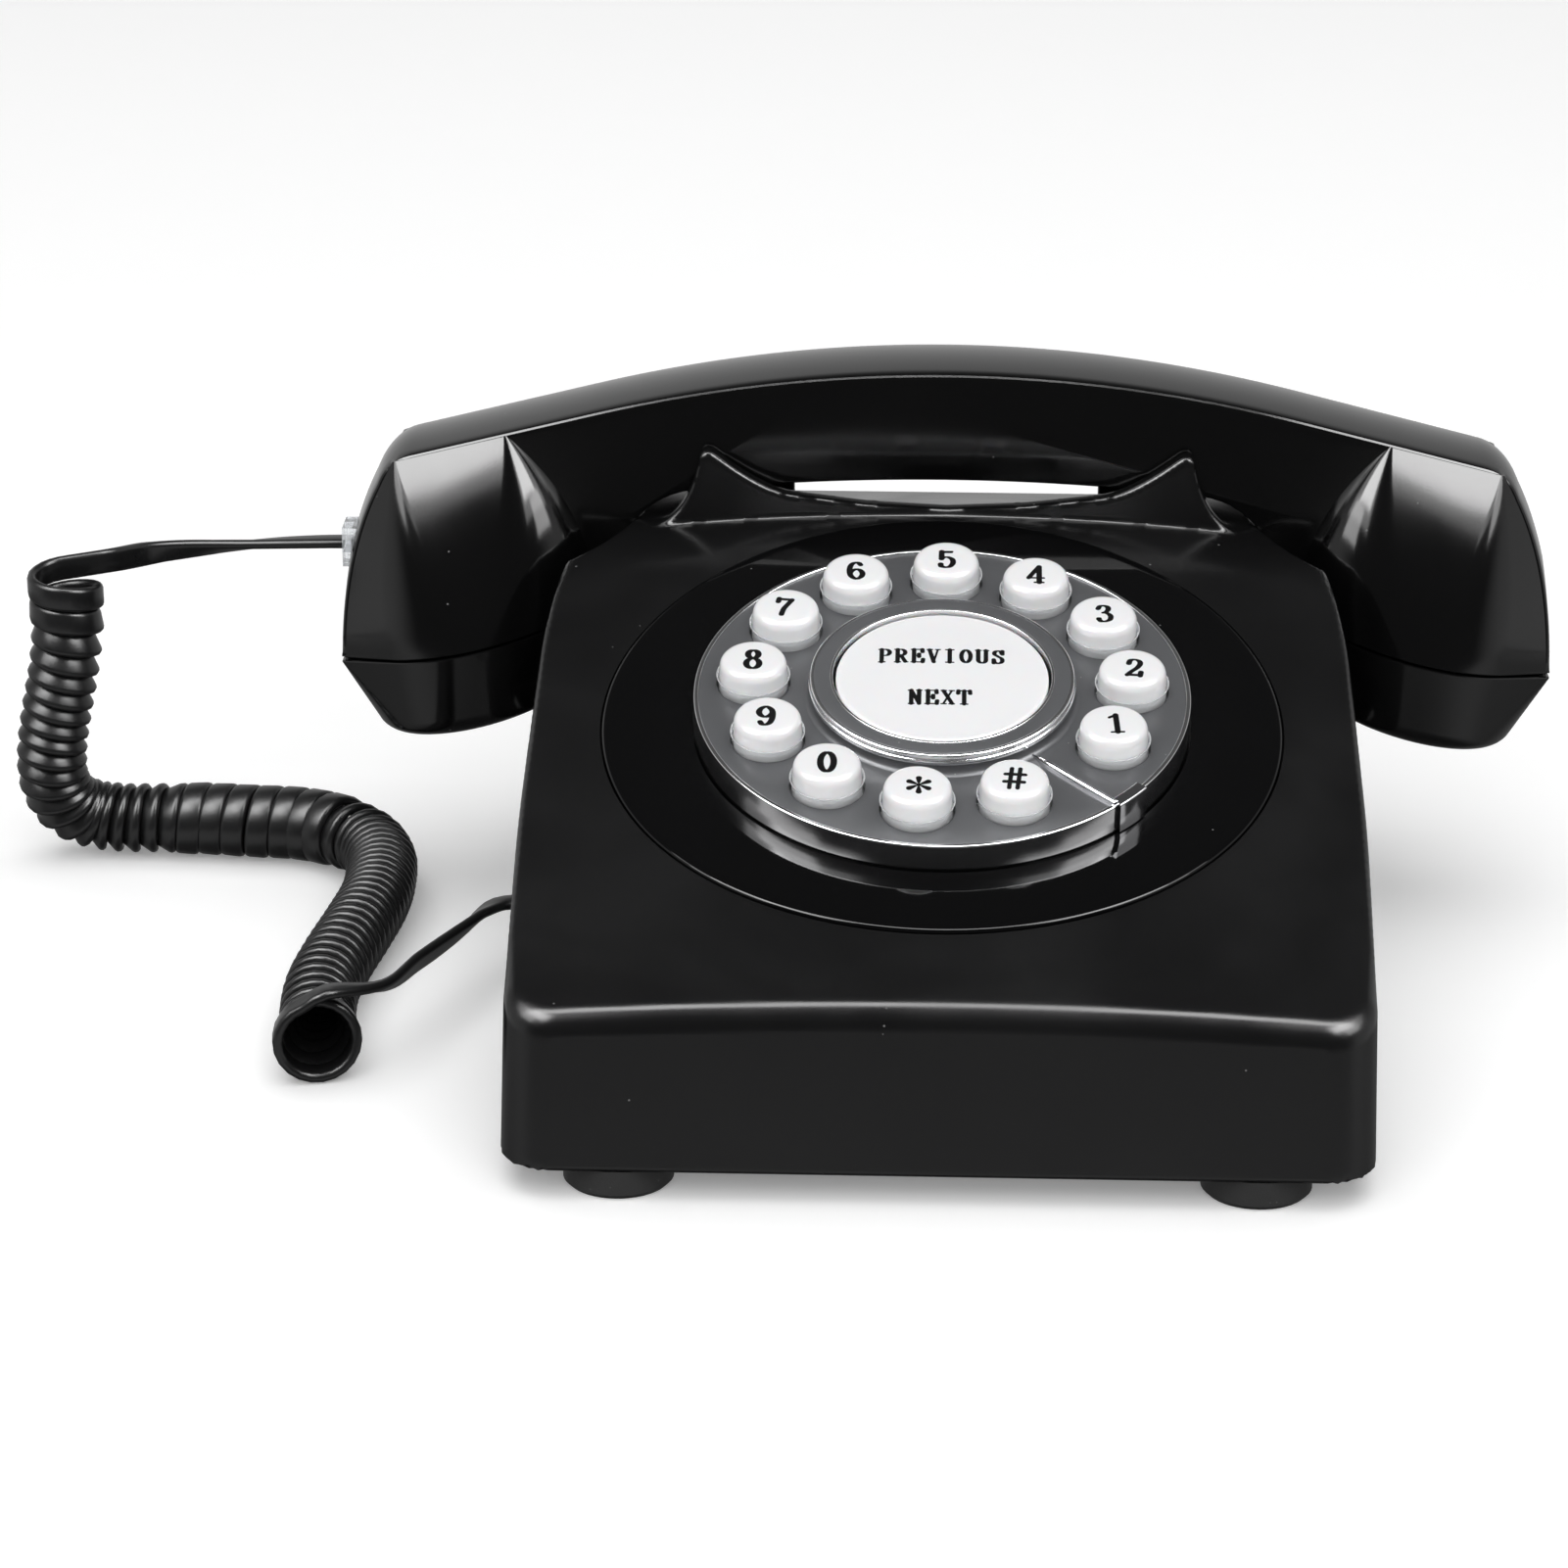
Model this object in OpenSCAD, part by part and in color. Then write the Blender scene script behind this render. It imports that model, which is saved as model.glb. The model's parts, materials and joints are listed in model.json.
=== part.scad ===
// Push-button desk telephone styled after an old dial telephone.
// Frame: +Z up, front of the phone towards -Y, origin on the desk under the middle of the phone.

/* [Body] */
// Width of the housing at its foot
body_w = 142.6; // [138:0.2:150]
// Depth of the housing
body_d = 185; // [182:1:195]
// Gap between desk and housing, filled by the feet
foot_h = 5; // [4:0.5:7]
// Height of the front face at its corners
front_h = 26.2; // [24:0.2:30]
// How far the front face leans back at its top
front_lean = 1; // [0:0.25:2]
// Slope of the top face and the dial
top_slope = 17.8; // [16:0.2:19]
// Rise of the crowned top face from its side edges to its middle
crown_h = 2.8; // [1:0.2:4]
// Wall of the housing
wall = 2.5; // [2:0.1:3]
// Side wall draft on each side between foot and shoulder
side_draft = 1.9; // [1:0.1:3]
// Plan radius of the front corners
front_corner_r = 9; // [6:0.5:12]
// Plan radius of the rear corners
rear_corner_r = 12; // [8:0.5:16]
// Rounding of the top edges
edge_r = 3; // [2.8:0.1:4]
// Height of the vertical part of the rear face
rear_h = 36; // [33:1:44]

/* [Cradle] */
// Distance of the handset's centre plane from the front of the body
cradle_pos = 150.5; // [149:0.5:152]
// Thickness of the horn walls
horn_t = 4; // [3:0.5:5]
// Height of the horn tips above the desk
horn_tip_z = 88.2; // [86:0.2:92]
// Distance of the horn tips from the middle
horn_tip_x = 43.6; // [42:0.2:46]
// Height of the front rim in the middle
rim_z = 77.8; // [77:0.2:78.6]
// Height of the finger channel's floor behind the front rim
channel_z = 73.6; // [72:0.2:74]
// Fall of the channel floor towards the rear
channel_fall = 2.4; // [1:0.2:3]
// Half width of the finger channel
channel_half_w = 36; // [32:0.5:37]
// Half width of the cradle neck between the handset's heads
neck_half_w = 56.5; // [54:0.5:57]
// Height of the shoulder saddle at the middle line
saddle_z = 80.2; // [80:0.1:80.6]
// Radius of the shoulder saddle across the body
saddle_r = 257; // [250:1:265]
// Height of the ledges under the handset's heads
ledge_z = 27; // [24:0.5:28]

/* [Dial] */
// Distance of the dial's centre from the front of the body, along Y
dial_pos = 76.1; // [75:0.1:77]
// Radius of the glossy plinth
plinth_r = 59.1; // [56:0.1:60]
// Height of the plinth above the housing
plinth_rise = 0.6; // [0.4:0.1:1]
// Outer radius of the chrome dial ring
dial_r = 43; // [42.4:0.1:44]
// Height of the dial plate above the housing
dial_rise = 5.2; // [4.6:0.1:6]
// Thickness of the dial plate
plate_t = 1.6; // [1.2:0.1:1.8]
// Radius of the circle of keys
key_circle_r = 32.8; // [32.6:0.1:33]
// Angle between neighbouring keys
key_pitch = 29; // [28.4:0.1:29.2]
// Angle of the first key, counted from +X
first_key_angle = -26.8; // [-28:0.2:-26]
// Radius of the white key caps
key_r = 5.95; // [5.6:0.05:6.1]
// Radius of the clear key skirts
skirt_r = 6.6; // [6.4:0.05:6.7]
// Height of the clear skirt above the plate
skirt_rise = 1; // [0.6:0.1:1.4]
// Height of the white cap above its skirt
cap_h = 3; // [2.4:0.1:3.6]
// Travel of a key
key_travel = 1.5; // [1:0.1:1.6]
// Radius of the centre button
button_r = 18.5; // [18:0.1:18.6]
// Radius of the raised hub
hub_r = 22.3; // [22:0.1:22.6]
// Height of the hub above the plate
hub_rise = 1.8; // [1.4:0.1:2.2]
// Dome of the centre button
button_dome = 0.9; // [0.5:0.1:1.2]

/* [Handset] */
// Half the length of the handset
handset_half_l = 112.8; // [111:0.2:115]
// Depth of the handle
handle_d = 22; // [20:0.5:22.4]
// Height of the handle's front top edge at the middle
handle_top_z = 101.9; // [100:0.1:104]
// Height of the handle's underside at the middle
handle_under_z = 81.9; // [81.6:0.1:83]
// Radius of the bow along the handle's top
bow_r = 260; // [250:5:270]
// Radius of the bow along the handle's underside
under_r = 430; // [420:5:440]
// Crown of the handle's top face from front to back
handle_crown = 1; // [0.5:0.1:1.5]
// Distance of the heads' centres from the middle
head_x = 86; // [85:0.5:87]
// Radius of the heads at the seam
head_r = 25; // [24:0.5:26]
// Height of the seam at the handset's ends
seam_z = 43; // [42:0.5:46]
// Tilt of the seam, rising towards the middle
seam_tilt = 14; // [12:0.5:15]
// Depth of the caps below the seam
cap_depth = 14.5; // [12:0.5:15]
// Radius of the caps at their foot
cap_foot_r = 20; // [18:0.5:21]
// Width of the groove along the seam
seam_gap = 0.35; // [0.2:0.05:0.5]
// Radius of the receiver and the microphone
capsule_r = 16; // [14:0.5:17]

/* [Cord] */
// Outer diameter of the curly part
coil_d = 13.2; // [12.6:0.2:13.4]
// Diameter of the leads' solids
lead_d = 3.4; // [3:0.1:3.8]

/* [Fits] */
// Gap of pieces that are assembled loosely
gap = 0.3; // [0.2:0.05:0.35]
// Radial clearance of a pin or plunger that runs in a hole
run_fit = 0.06; // [0.03:0.01:0.1]
// Gap between a key skirt and its hole
key_fit = 0.2; // [0.15:0.05:0.3]
// Clearance round a plug in its jack
plug_fit = 0.2; // [0.1:0.05:0.3]

/* [Hidden] */
$fn = 64;
// Facets of the rounds inside a hull, and of very large arcs
HULL_FN = 32;
ARC_FN = 256;
// Longer than the whole telephone, for cuts that run right through
LONG = 400;
// Overlap of a cut beyond a face
CUT = 0.5;

KEY_NAMES = ["1", "2", "3", "4", "5", "6", "7", "8", "9", "0", "star", "hash"];
KEYS = [for (name = KEY_NAMES) str("key_", name)];
SKIRTS = [for (name = KEY_NAMES) str("skirt_", name)];
BASE_NODES = ["upper_housing", "base_plate", "rubber_feet", "base_screws", "dial_plinth", "dial_ring",
              "dial_plate", "hub_trim", "button_bezel", "finger_stop", "keypad_membrane",
              "keypad_board", "dial_screws", "centre_switches", "main_board", "board_parts",
              "ringer_speaker", "ballast_weight", "hook_switch", "line_jack", "handset_jack"];
CORD_NODES = ["cord_plug_base", "cord_lead_base", "cord_coil", "cord_lead_handset", "cord_plug_handset"];
HANDSET_NODES = ["handset_shell", "mouth_cap", "ear_cap", "microphone_capsule", "receiver_capsule",
                 "handset_weight", "handset_socket"];

BLACK = [0.07, 0.07, 0.075];
SMOKE = [0.33, 0.34, 0.36];
CHROME = [0.85, 0.86, 0.88];
WHITE = [0.93, 0.93, 0.94];
CLEAR = [0.85, 0.88, 0.9, 0.45];
STEEL = [0.6, 0.61, 0.63];
BOARD = [0.1, 0.35, 0.18];

// ---- Places worked out from the body ----
front_y = -body_d / 2;
rear_y = body_d / 2;
front_top_y = front_y + front_lean;
front_top_z = foot_h + front_h;
crown_r = pow(body_w / 2, 2) / (2 * crown_h);
function top_z(x, y) =
    front_top_z + crown_h - x * x / (2 * crown_r) + (y - front_top_y) * tan(top_slope);
function saddle_height(x) = saddle_z - x * x / (2 * saddle_r);
shoulder_z = saddle_height(body_w / 2);
function half_w(z) = body_w / 2 - side_draft * (z - foot_h) / (shoulder_z - foot_h);

// ---- Places worked out from the cradle ----
cradle_y = front_y + cradle_pos;
// The trough that the handle lies in, between the two horn walls
trough_gap = 0.6;
trough_front_y = cradle_y - handle_d / 2 - trough_gap;
trough_rear_y = cradle_y + handle_d / 2 + trough_gap;
horn_front_y = trough_front_y - horn_t;
recess_r = head_x - neck_half_w;
seat_w = 10;
seat_x = horn_tip_x - 0.6;
function under_z(x) = handle_under_z - x * x / (2 * under_r);

// ---- Places worked out from the dial ----
dial_y = front_y + dial_pos;
dial_z = top_z(0, dial_y);
plate_z = dial_rise;
plate_under = plate_z - plate_t;
ring_wall = 0.8;
ring_lip = 0.25;
plinth_t = 2.6;
plinth_floor = plinth_rise - plinth_t;
seat_ring_t = 4;
seat_ring_under = plinth_floor - seat_ring_t;
ring_flange_t = 1.6;
ring_flange_w = 5;
ring_foot = seat_ring_under - ring_flange_t;
board_t = 1.6;
membrane_t = 1;
skirt_flange_t = 1;
skirt_flange_w = 0.8;
stem_r = 3;
// Under the plate: flange gap, flange, stem, travel, dome, membrane and board
flange_top = plate_under - gap;
dome_h = 1.2;
stem_end = flange_top - skirt_flange_t - 1.7;
dome_top = stem_end - key_travel - gap;
membrane_top = dome_top - dome_h;
board_top = membrane_top - membrane_t;
board_r = dial_r - ring_wall - 1.6;
hub_z = plate_z + hub_rise;
bezel_w = 0.5;
button_fit = 0.4;
pivot_z = plate_z - 1.4;
pivot_r = 1.2;
post_r = 2.2;
post_circle_r = board_r - post_r - 0.1;
POST_SLOTS = [0, 3, 6, 9];
function key_angle(i) = first_key_angle + i * key_pitch;
function post_angle(i) = key_angle(i) + key_pitch / 2;

// ---- Places worked out from the handset ----
half_d = handle_d / 2;
// Where the straight ends of the handle's top start, and their slope
bow_x = bow_r / 4;
bow_sag = bow_x * bow_x / (2 * bow_r);
bow_slope = bow_x / bow_r;
function bow_z(x) =
    x < bow_x ? handle_top_z - x * x / (2 * bow_r) : handle_top_z - bow_sag - (x - bow_x) * bow_slope;
end_corner_x = handset_half_l - 9.8;
head_top_x = head_x - 5;
seam_end_x = handset_half_l - 0.6;
seam_centre_z = seam_z + (seam_end_x - head_x) * tan(seam_tilt);
// ---- Jacks and plugs ----
jack_y = 8;
jack_z = 13;
jack_size = [13, 9.6, 9.4];
plug_size = [11, 7.6, 7.4];
plug_proud = 3;
socket_z = 65.3;
jack_face_x = -half_w(jack_z);
socket_face_x = -(handset_half_l - 3.2);
line_jack_x = 30;
line_jack_size = [15, 15, 14];

// ---- Inside the base ----
plate_bottom = foot_h + 0.6;
base_t = 2.5;
plate_top = plate_bottom + base_t;
line_jack_z = plate_top + line_jack_size[2] / 2;
foot_r = 9.2;
foot_inset_x = 18.7;
foot_x = body_w / 2 - foot_inset_x;
foot_inset_y = 9.2;
screw_post_r = 4;
screw_post_inset_x = 11.3;
screw_post_x = body_w / 2 - screw_post_inset_x;
screw_post_inset_front = 21;
screw_post_inset_rear = 29;
pilot_r = 1.5;
pilot_depth = 12;
screw_r = 1.4;

// A point on a parabola through three guide points
function bend(a, b, c, t) = (1 - t) * (1 - t) * a + 2 * t * (1 - t) * b + t * t * c;
function bends(a, b, c, n) = [for (i = [0:n]) bend(a, b, c, i / n)];

module dial_frame() {
    translate([0, dial_y, dial_z])
        rotate([top_slope, 0, 0])
            children();
}

// A tube between two heights in the dial's frame
module band(r_out, r_in, low, high) {
    difference() {
        translate([0, 0, low])
            cylinder(r = r_out, h = high - low);
        translate([0, 0, low - CUT])
            cylinder(r = r_in, h = high - low + 2 * CUT);
    }
}

// A log across the dial's frame that is as crowned as the top face
module crown_log(top) {
    translate([0, LONG / 2, top - crown_r])
        rotate([90, 0, 0])
            cylinder(r = crown_r, h = LONG, $fn = 2 * ARC_FN);
}

// A profile in Y and Z, run along X
module across(width) {
    rotate([90, 0, 90])
        translate([0, 0, -width / 2])
            linear_extrude(width)
                children();
}

// A profile in X and Z, run along Y from y0 to y1
module along(y0, y1) {
    translate([0, y1, 0])
        rotate([90, 0, 0])
            linear_extrude(y1 - y0)
                children();
}

// ---- Housing ----
module ring_form(r, tube) {
    rotate_extrude($fn = HULL_FN)
        translate([r, 0])
            circle(r = tube, $fn = 16);
}

EDGE_STEPS = 4;
module case_hull(inset) {
    tube = edge_r - inset;
    low = foot_h - (inset > 0 ? 1 : 0);
    edge_y = front_top_y + edge_r;
    crest_y = trough_rear_y + horn_t + 6;
    top_half_w = half_w(front_top_z) - front_corner_r;
    rear_half_w = body_w / 2 - rear_corner_r;
    hull() {
        for (side = [-1, 1]) {
            translate([side * (body_w / 2 - front_corner_r), front_y + front_corner_r, low])
                cylinder(r = front_corner_r - inset, h = 1, $fn = HULL_FN);
            translate([side * rear_half_w, rear_y - rear_corner_r, low])
                cylinder(r = rear_corner_r - inset, h = 1, $fn = HULL_FN);
            translate([side * top_half_w, front_top_y + front_corner_r,
                       top_z(top_half_w, edge_y) - edge_r / cos(top_slope)])
                ring_form(front_corner_r - edge_r, tube);
            translate([side * rear_half_w, rear_y - rear_corner_r, foot_h + rear_h])
                ring_form(rear_corner_r - edge_r, tube);
        }
        for (i = [-EDGE_STEPS:EDGE_STEPS]) {
            x = i / EDGE_STEPS * top_half_w;
            translate([x, edge_y, top_z(x, edge_y) - edge_r / cos(top_slope)])
                sphere(r = tube, $fn = 16);
        }
        for (i = [-EDGE_STEPS:EDGE_STEPS]) {
            x = i / EDGE_STEPS * (half_w(shoulder_z) - edge_r);
            translate([x, crest_y, top_z(x, crest_y) - edge_r / cos(top_slope)])
                sphere(r = tube, $fn = 16);
        }
    }
}

// The finger channel between the horns and the recesses beside the neck
module cradle_space(grow) {
    channel_y = trough_front_y - grow;
    fall = channel_fall / (rear_y - trough_front_y);
    across(2 * (channel_half_w + grow))
        polygon([[channel_y, channel_z - grow], [LONG, channel_z - grow - fall * (LONG - channel_y)],
                 [LONG, LONG], [channel_y, LONG]]);
    for (side = [-1, 1]) {
        translate([side * head_x, cradle_y, ledge_z - grow])
            cylinder(r = recess_r + grow, h = LONG);
        translate([side > 0 ? neck_half_w - grow : -LONG - neck_half_w + grow, cradle_y, ledge_z - grow])
            cube([LONG, LONG, LONG]);
    }
}

module case_form(inset) {
    difference() {
        intersection() {
            case_hull(inset);
            translate([0, -LONG / 2, saddle_z - saddle_r])
                rotate([-90, 0, 0])
                    cylinder(r = saddle_r - inset, h = LONG, $fn = ARC_FN);
        }
        cradle_space(inset);
    }
}

// Front view of a horn: steep and hollow outside, sweeping down to the middle inside
function horn_points(low) = concat(
    bends([neck_half_w - 2, low], [horn_tip_x + 3.4, low + 2.5], [horn_tip_x + 1.6, horn_tip_z - 1], 6),
    [[horn_tip_x + 1, horn_tip_z - 0.2], [horn_tip_x, horn_tip_z], [horn_tip_x - 1, horn_tip_z - 0.3]],
    bends([horn_tip_x - 1.8, horn_tip_z - 1], [horn_tip_x - 10, rim_z + 3.2],
          [horn_tip_x - 15, rim_z + 2.4], 6));

module horn_wall(y0, rim) {
    low = saddle_height(neck_half_w - 2) - 1;
    base_z = channel_z - wall;
    for (side = [0, 1])
        mirror([side, 0, 0])
            along(y0, y0 + horn_t)
                polygon(concat(horn_points(low),
                               rim ? [[horn_tip_x - 29, rim_z + 0.7], [-CUT, rim_z], [-CUT, base_z]]
                                   : [[horn_tip_x - 15, base_z]],
                               [[neck_half_w - 2, base_z]]));
}

module seat_pads() {
    intersection() {
        for (side = [-1, 1])
            translate([side * seat_x - seat_w / 2, trough_front_y - CUT, saddle_height(seat_x) - wall])
                cube([seat_w, trough_rear_y - trough_front_y + 2 * CUT, LONG]);
        translate([0, -LONG / 2, handle_under_z - gap - under_r])
            rotate([-90, 0, 0])
                cylinder(r = under_r, h = LONG, $fn = 2 * ARC_FN);
    }
}

// Screw post places: front pair, rear pair
function screw_places() = [for (side = [-1, 1], rear = [0, 1])
    [side * screw_post_x, rear ? rear_y - screw_post_inset_rear : front_y + screw_post_inset_front]];
function screw_roof(p) = p[1] < 0 ? top_z(p[0], p[1]) - wall : ledge_z - wall;

// The hook board hangs on posts under the finger channel
hook_travel = 4;
hook_bar_t = 3.6;
channel_roof = channel_z - channel_fall - wall;
hook_bar_top = channel_roof - hook_travel - 2 * gap;
hook_bar_z = hook_bar_top - hook_bar_t;
plunger_r = 3;
hook_switch_top = hook_bar_z - gap;
hook_switch_h = 6;
hook_board_top = hook_switch_top - hook_switch_h;
hook_board_size = [60, 22];
hook_switch_size = [12, 6, hook_switch_h - 2];
hook_bar_d = 8;
hook_post_inset = [8, 4];
HOOK_POSTS = [for (side = [-1, 1], row = [-1, 1])
    [side * (hook_board_size[0] / 2 - hook_post_inset[0]),
     row * (hook_board_size[1] / 2 - hook_post_inset[1])]];

module upper_housing() {
    color(BLACK)
    difference() {
        union() {
            difference() {
                case_form(0);
                case_form(wall);
            }
            horn_wall(horn_front_y, true);
            horn_wall(trough_rear_y, false);
            seat_pads();
            dial_frame()
                translate([0, 0, seat_ring_under])
                    cylinder(r = plinth_r + 2.5, h = seat_ring_t + 0.1);
            for (p = screw_places())
                translate([p[0], p[1], plate_top])
                    cylinder(r = screw_post_r, h = screw_roof(p) + CUT - plate_top);
            for (p = HOOK_POSTS)
                translate([p[0], cradle_y + p[1], hook_board_top])
                    cylinder(r = screw_post_r - 1, h = channel_z - wall - hook_board_top);
        }
        dial_frame() {
            intersection() {
                translate([0, 0, -LONG / 2])
                    cylinder(r = plinth_r + gap, h = LONG);
                difference() {
                    translate([-LONG / 2, -LONG / 2, plinth_floor - 10])
                        cube([LONG, LONG, 60]);
                    crown_log(plinth_floor);
                }
            }
            translate([0, 0, seat_ring_under - CUT])
                cylinder(r = dial_r + gap, h = 30);
        }
        for (p = screw_places())
            translate([p[0], p[1], plate_top - CUT])
                cylinder(r = pilot_r, h = pilot_depth);
        for (side = [-1, 1])
            translate([side * seat_x, cradle_y, hook_bar_top])
                cylinder(r = plunger_r + run_fit, h = 40);
        translate([jack_face_x - CUT, jack_y - jack_size[1] / 2 - gap, jack_z - jack_size[2] / 2 - gap])
            cube([wall + 3, jack_size[1] + 2 * gap, jack_size[2] + 2 * gap]);
        translate([line_jack_x - line_jack_size[0] / 2 - gap, rear_y - wall - 3,
                   line_jack_z - line_jack_size[2] / 2 - gap])
            cube([line_jack_size[0] + 2 * gap, wall + 3 + CUT, line_jack_size[2] + 2 * gap]);
    }
}

// ---- Base ----
// A rounded plan with one corner radius in front and another behind
module plan(w, d, r_front, r_rear) {
    for (side = [-1, 1]) {
        translate([side * (w / 2 - r_front), r_front - d / 2])
            circle(r = r_front);
        translate([side * (w / 2 - r_rear), d / 2 - r_rear])
            circle(r = r_rear);
    }
    translate([-w / 2, r_front - d / 2])
        square([w, d - r_front - r_rear]);
    translate([r_front - w / 2, -d / 2])
        square([w - 2 * r_front, d / 2]);
    translate([r_rear - w / 2, 0])
        square([w - 2 * r_rear, d / 2]);
}

function foot_places() = [for (side = [-1, 1], row = [-1, 1])
    [side * foot_x, row * (body_d / 2 - foot_inset_y)]];

board_w = 100;
board_d = 56;
board_y = 34;
board_z = plate_top + 4;
BOARD_POSTS = [for (side = [-1, 1], row = [-1, 1])
    [side * (board_w / 2 - 5), board_y + row * (board_d / 2 - 5)]];
foot_peg_r = 2.5;

module base_plate() {
    inset = wall + gap + run_fit;
    color(BLACK)
    difference() {
        union() {
            translate([0, 0, plate_bottom])
                linear_extrude(base_t)
                    plan(body_w - 2 * inset, body_d - 2 * inset, front_corner_r - inset,
                         rear_corner_r - inset);
            for (p = BOARD_POSTS)
                translate([p[0], p[1], plate_top])
                    cylinder(r = post_r + 1, h = board_z - plate_top);
        }
        for (p = screw_places())
            translate([p[0], p[1], plate_bottom - CUT]) {
                cylinder(r = pilot_r, h = base_t + 2 * CUT);
                cylinder(r = 2 * screw_r + gap, h = head_t + CUT);
            }
        for (p = foot_places())
            translate([p[0], p[1], plate_bottom - CUT])
                cylinder(r = foot_peg_r, h = base_t + 2 * CUT);
        for (p = BOARD_POSTS)
            translate([p[0], p[1], plate_top])
                cylinder(r = pilot_r, h = board_z);
    }
}

foot_edge = 0.8;
foot_neck_r = 4;
module rubber_feet() {
    peg_top = plate_top + gap;
    color(BLACK)
    for (p = foot_places())
        translate([p[0], p[1], 0])
            rotate_extrude()
                polygon([[0, 0], [foot_r - foot_edge, 0], [foot_r, foot_edge], [foot_r, foot_h],
                         [foot_neck_r, foot_h], [foot_neck_r, plate_bottom], [foot_peg_r, plate_bottom],
                         [foot_peg_r, peg_top], [0, peg_top]]);
}

head_t = 1.5;
module screw(length) {
    translate([0, 0, -head_t])
        cylinder(r = 2 * screw_r, h = head_t);
    translate([0, 0, -CUT])
        cylinder(r = screw_r, h = length + CUT);
}

module base_screws() {
    color(STEEL) {
        for (p = screw_places())
            translate([p[0], p[1], plate_bottom + head_t])
                screw(base_t + 8);
        for (p = BOARD_POSTS)
            translate([p[0], p[1], board_z + board_t])
                rotate([180, 0, 0])
                    screw(board_t + 3);
    }
}

module main_board() {
    color(BOARD)
    difference() {
        translate([-board_w / 2, board_y - board_d / 2, board_z])
            cube([board_w, board_d, board_t]);
        for (p = BOARD_POSTS)
            translate([p[0], p[1], board_z - CUT])
                cylinder(r = pilot_r, h = board_t + 2 * CUT);
    }
}

// Size and place of the larger parts on the main board
BOARD_PARTS = [[-28, 24, 14, 10, 2.4], [-6, 40, 9, 9, 2], [16, 22, 12, 12, 7], [30, 46, 16, 8, 5]];
CAN_PARTS = [[-30, 46, 4, 10], [-18, 48, 3, 8], [0, 20, 3, 8]];
module board_parts() {
    color(STEEL)
    translate([0, 0, board_z + board_t]) {
        for (p = BOARD_PARTS)
            translate([p[0] - p[2] / 2, p[1] - p[3] / 2, 0])
                cube([p[2], p[3], p[4]]);
        for (p = CAN_PARTS)
            translate([p[0], p[1], 0])
                cylinder(r = p[2], h = p[3]);
    }
}

ringer_r = 20;
ringer_h = 9;
ringer_inset_x = 39.3;
ringer_place = [body_w / 2 - ringer_inset_x, -20];
module ringer_speaker() {
    color(STEEL)
    translate([ringer_place[0], ringer_place[1], plate_top])
        rotate_extrude()
            polygon([[0, 0], [ringer_r / 2, 0], [ringer_r / 2, ringer_h - 4], [ringer_r, ringer_h - 2],
                     [ringer_r, ringer_h], [ringer_r - 2, ringer_h], [ringer_r / 2, ringer_h - 2.5],
                     [0, ringer_h - 1.5]]);
}

ballast_size = [70, 30, 8];
ballast_inset = 16;
module ballast_weight() {
    color(STEEL)
    translate([-ballast_size[0] / 2, front_y + ballast_inset, plate_top])
        cube(ballast_size);
}

// A jack or a plug lies along -X, with its outer face at x = 0
module jack_body(size, bore) {
    difference() {
        translate([0, -size[1] / 2, -size[2] / 2])
            cube(size);
        translate([-CUT, -bore[1] / 2, -bore[2] / 2])
            cube(bore);
    }
}

function plug_hole(clear) =
    [plug_size[0] - plug_proud + 2 * CUT, plug_size[1] + 2 * clear, plug_size[2] + 2 * clear];
module plug_body() {
    translate([-plug_proud, -plug_size[1] / 2, -plug_size[2] / 2])
        cube(plug_size);
}

module handset_jack() {
    color(BLACK)
    translate([jack_face_x, jack_y, jack_z])
        jack_body(jack_size, plug_hole(plug_fit));
}

module cord_plug_base() {
    color(CLEAR)
    translate([jack_face_x, jack_y, jack_z])
        plug_body();
}

line_hole = [12, 11, 8];
module line_jack() {
    color(BLACK)
    translate([line_jack_x, rear_y, line_jack_z])
        rotate([0, 0, -90])
            jack_body(line_jack_size, [line_hole[0], line_hole[1], line_hole[2]]);
}

// ---- Dial ----
ring_bore = dial_r - ring_wall;
module dial_plinth() {
    color(BLACK)
    dial_frame()
        difference() {
            intersection() {
                translate([0, 0, -LONG / 2])
                    cylinder(r = plinth_r, h = LONG, $fn = 2 * $fn);
                crown_log(plinth_rise);
            }
            crown_log(plinth_floor);
            translate([0, 0, -LONG / 2])
                cylinder(r = dial_r + gap, h = LONG, $fn = 2 * $fn);
        }
}

module dial_ring() {
    inner = board_r + gap;
    color(CHROME)
    dial_frame()
        rotate_extrude($fn = 2 * $fn)
            polygon([[dial_r, plate_z + ring_lip], [dial_r, seat_ring_under],
                     [dial_r + ring_flange_w, seat_ring_under], [dial_r + ring_flange_w, ring_foot],
                     [inner, ring_foot], [inner, plate_under],
                     [ring_bore, plate_under], [ring_bore, plate_z + ring_lip]]);
}

module at_key(angle, r = key_circle_r) {
    rotate([0, 0, angle])
        translate([r, 0, 0])
            children();
}

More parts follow.
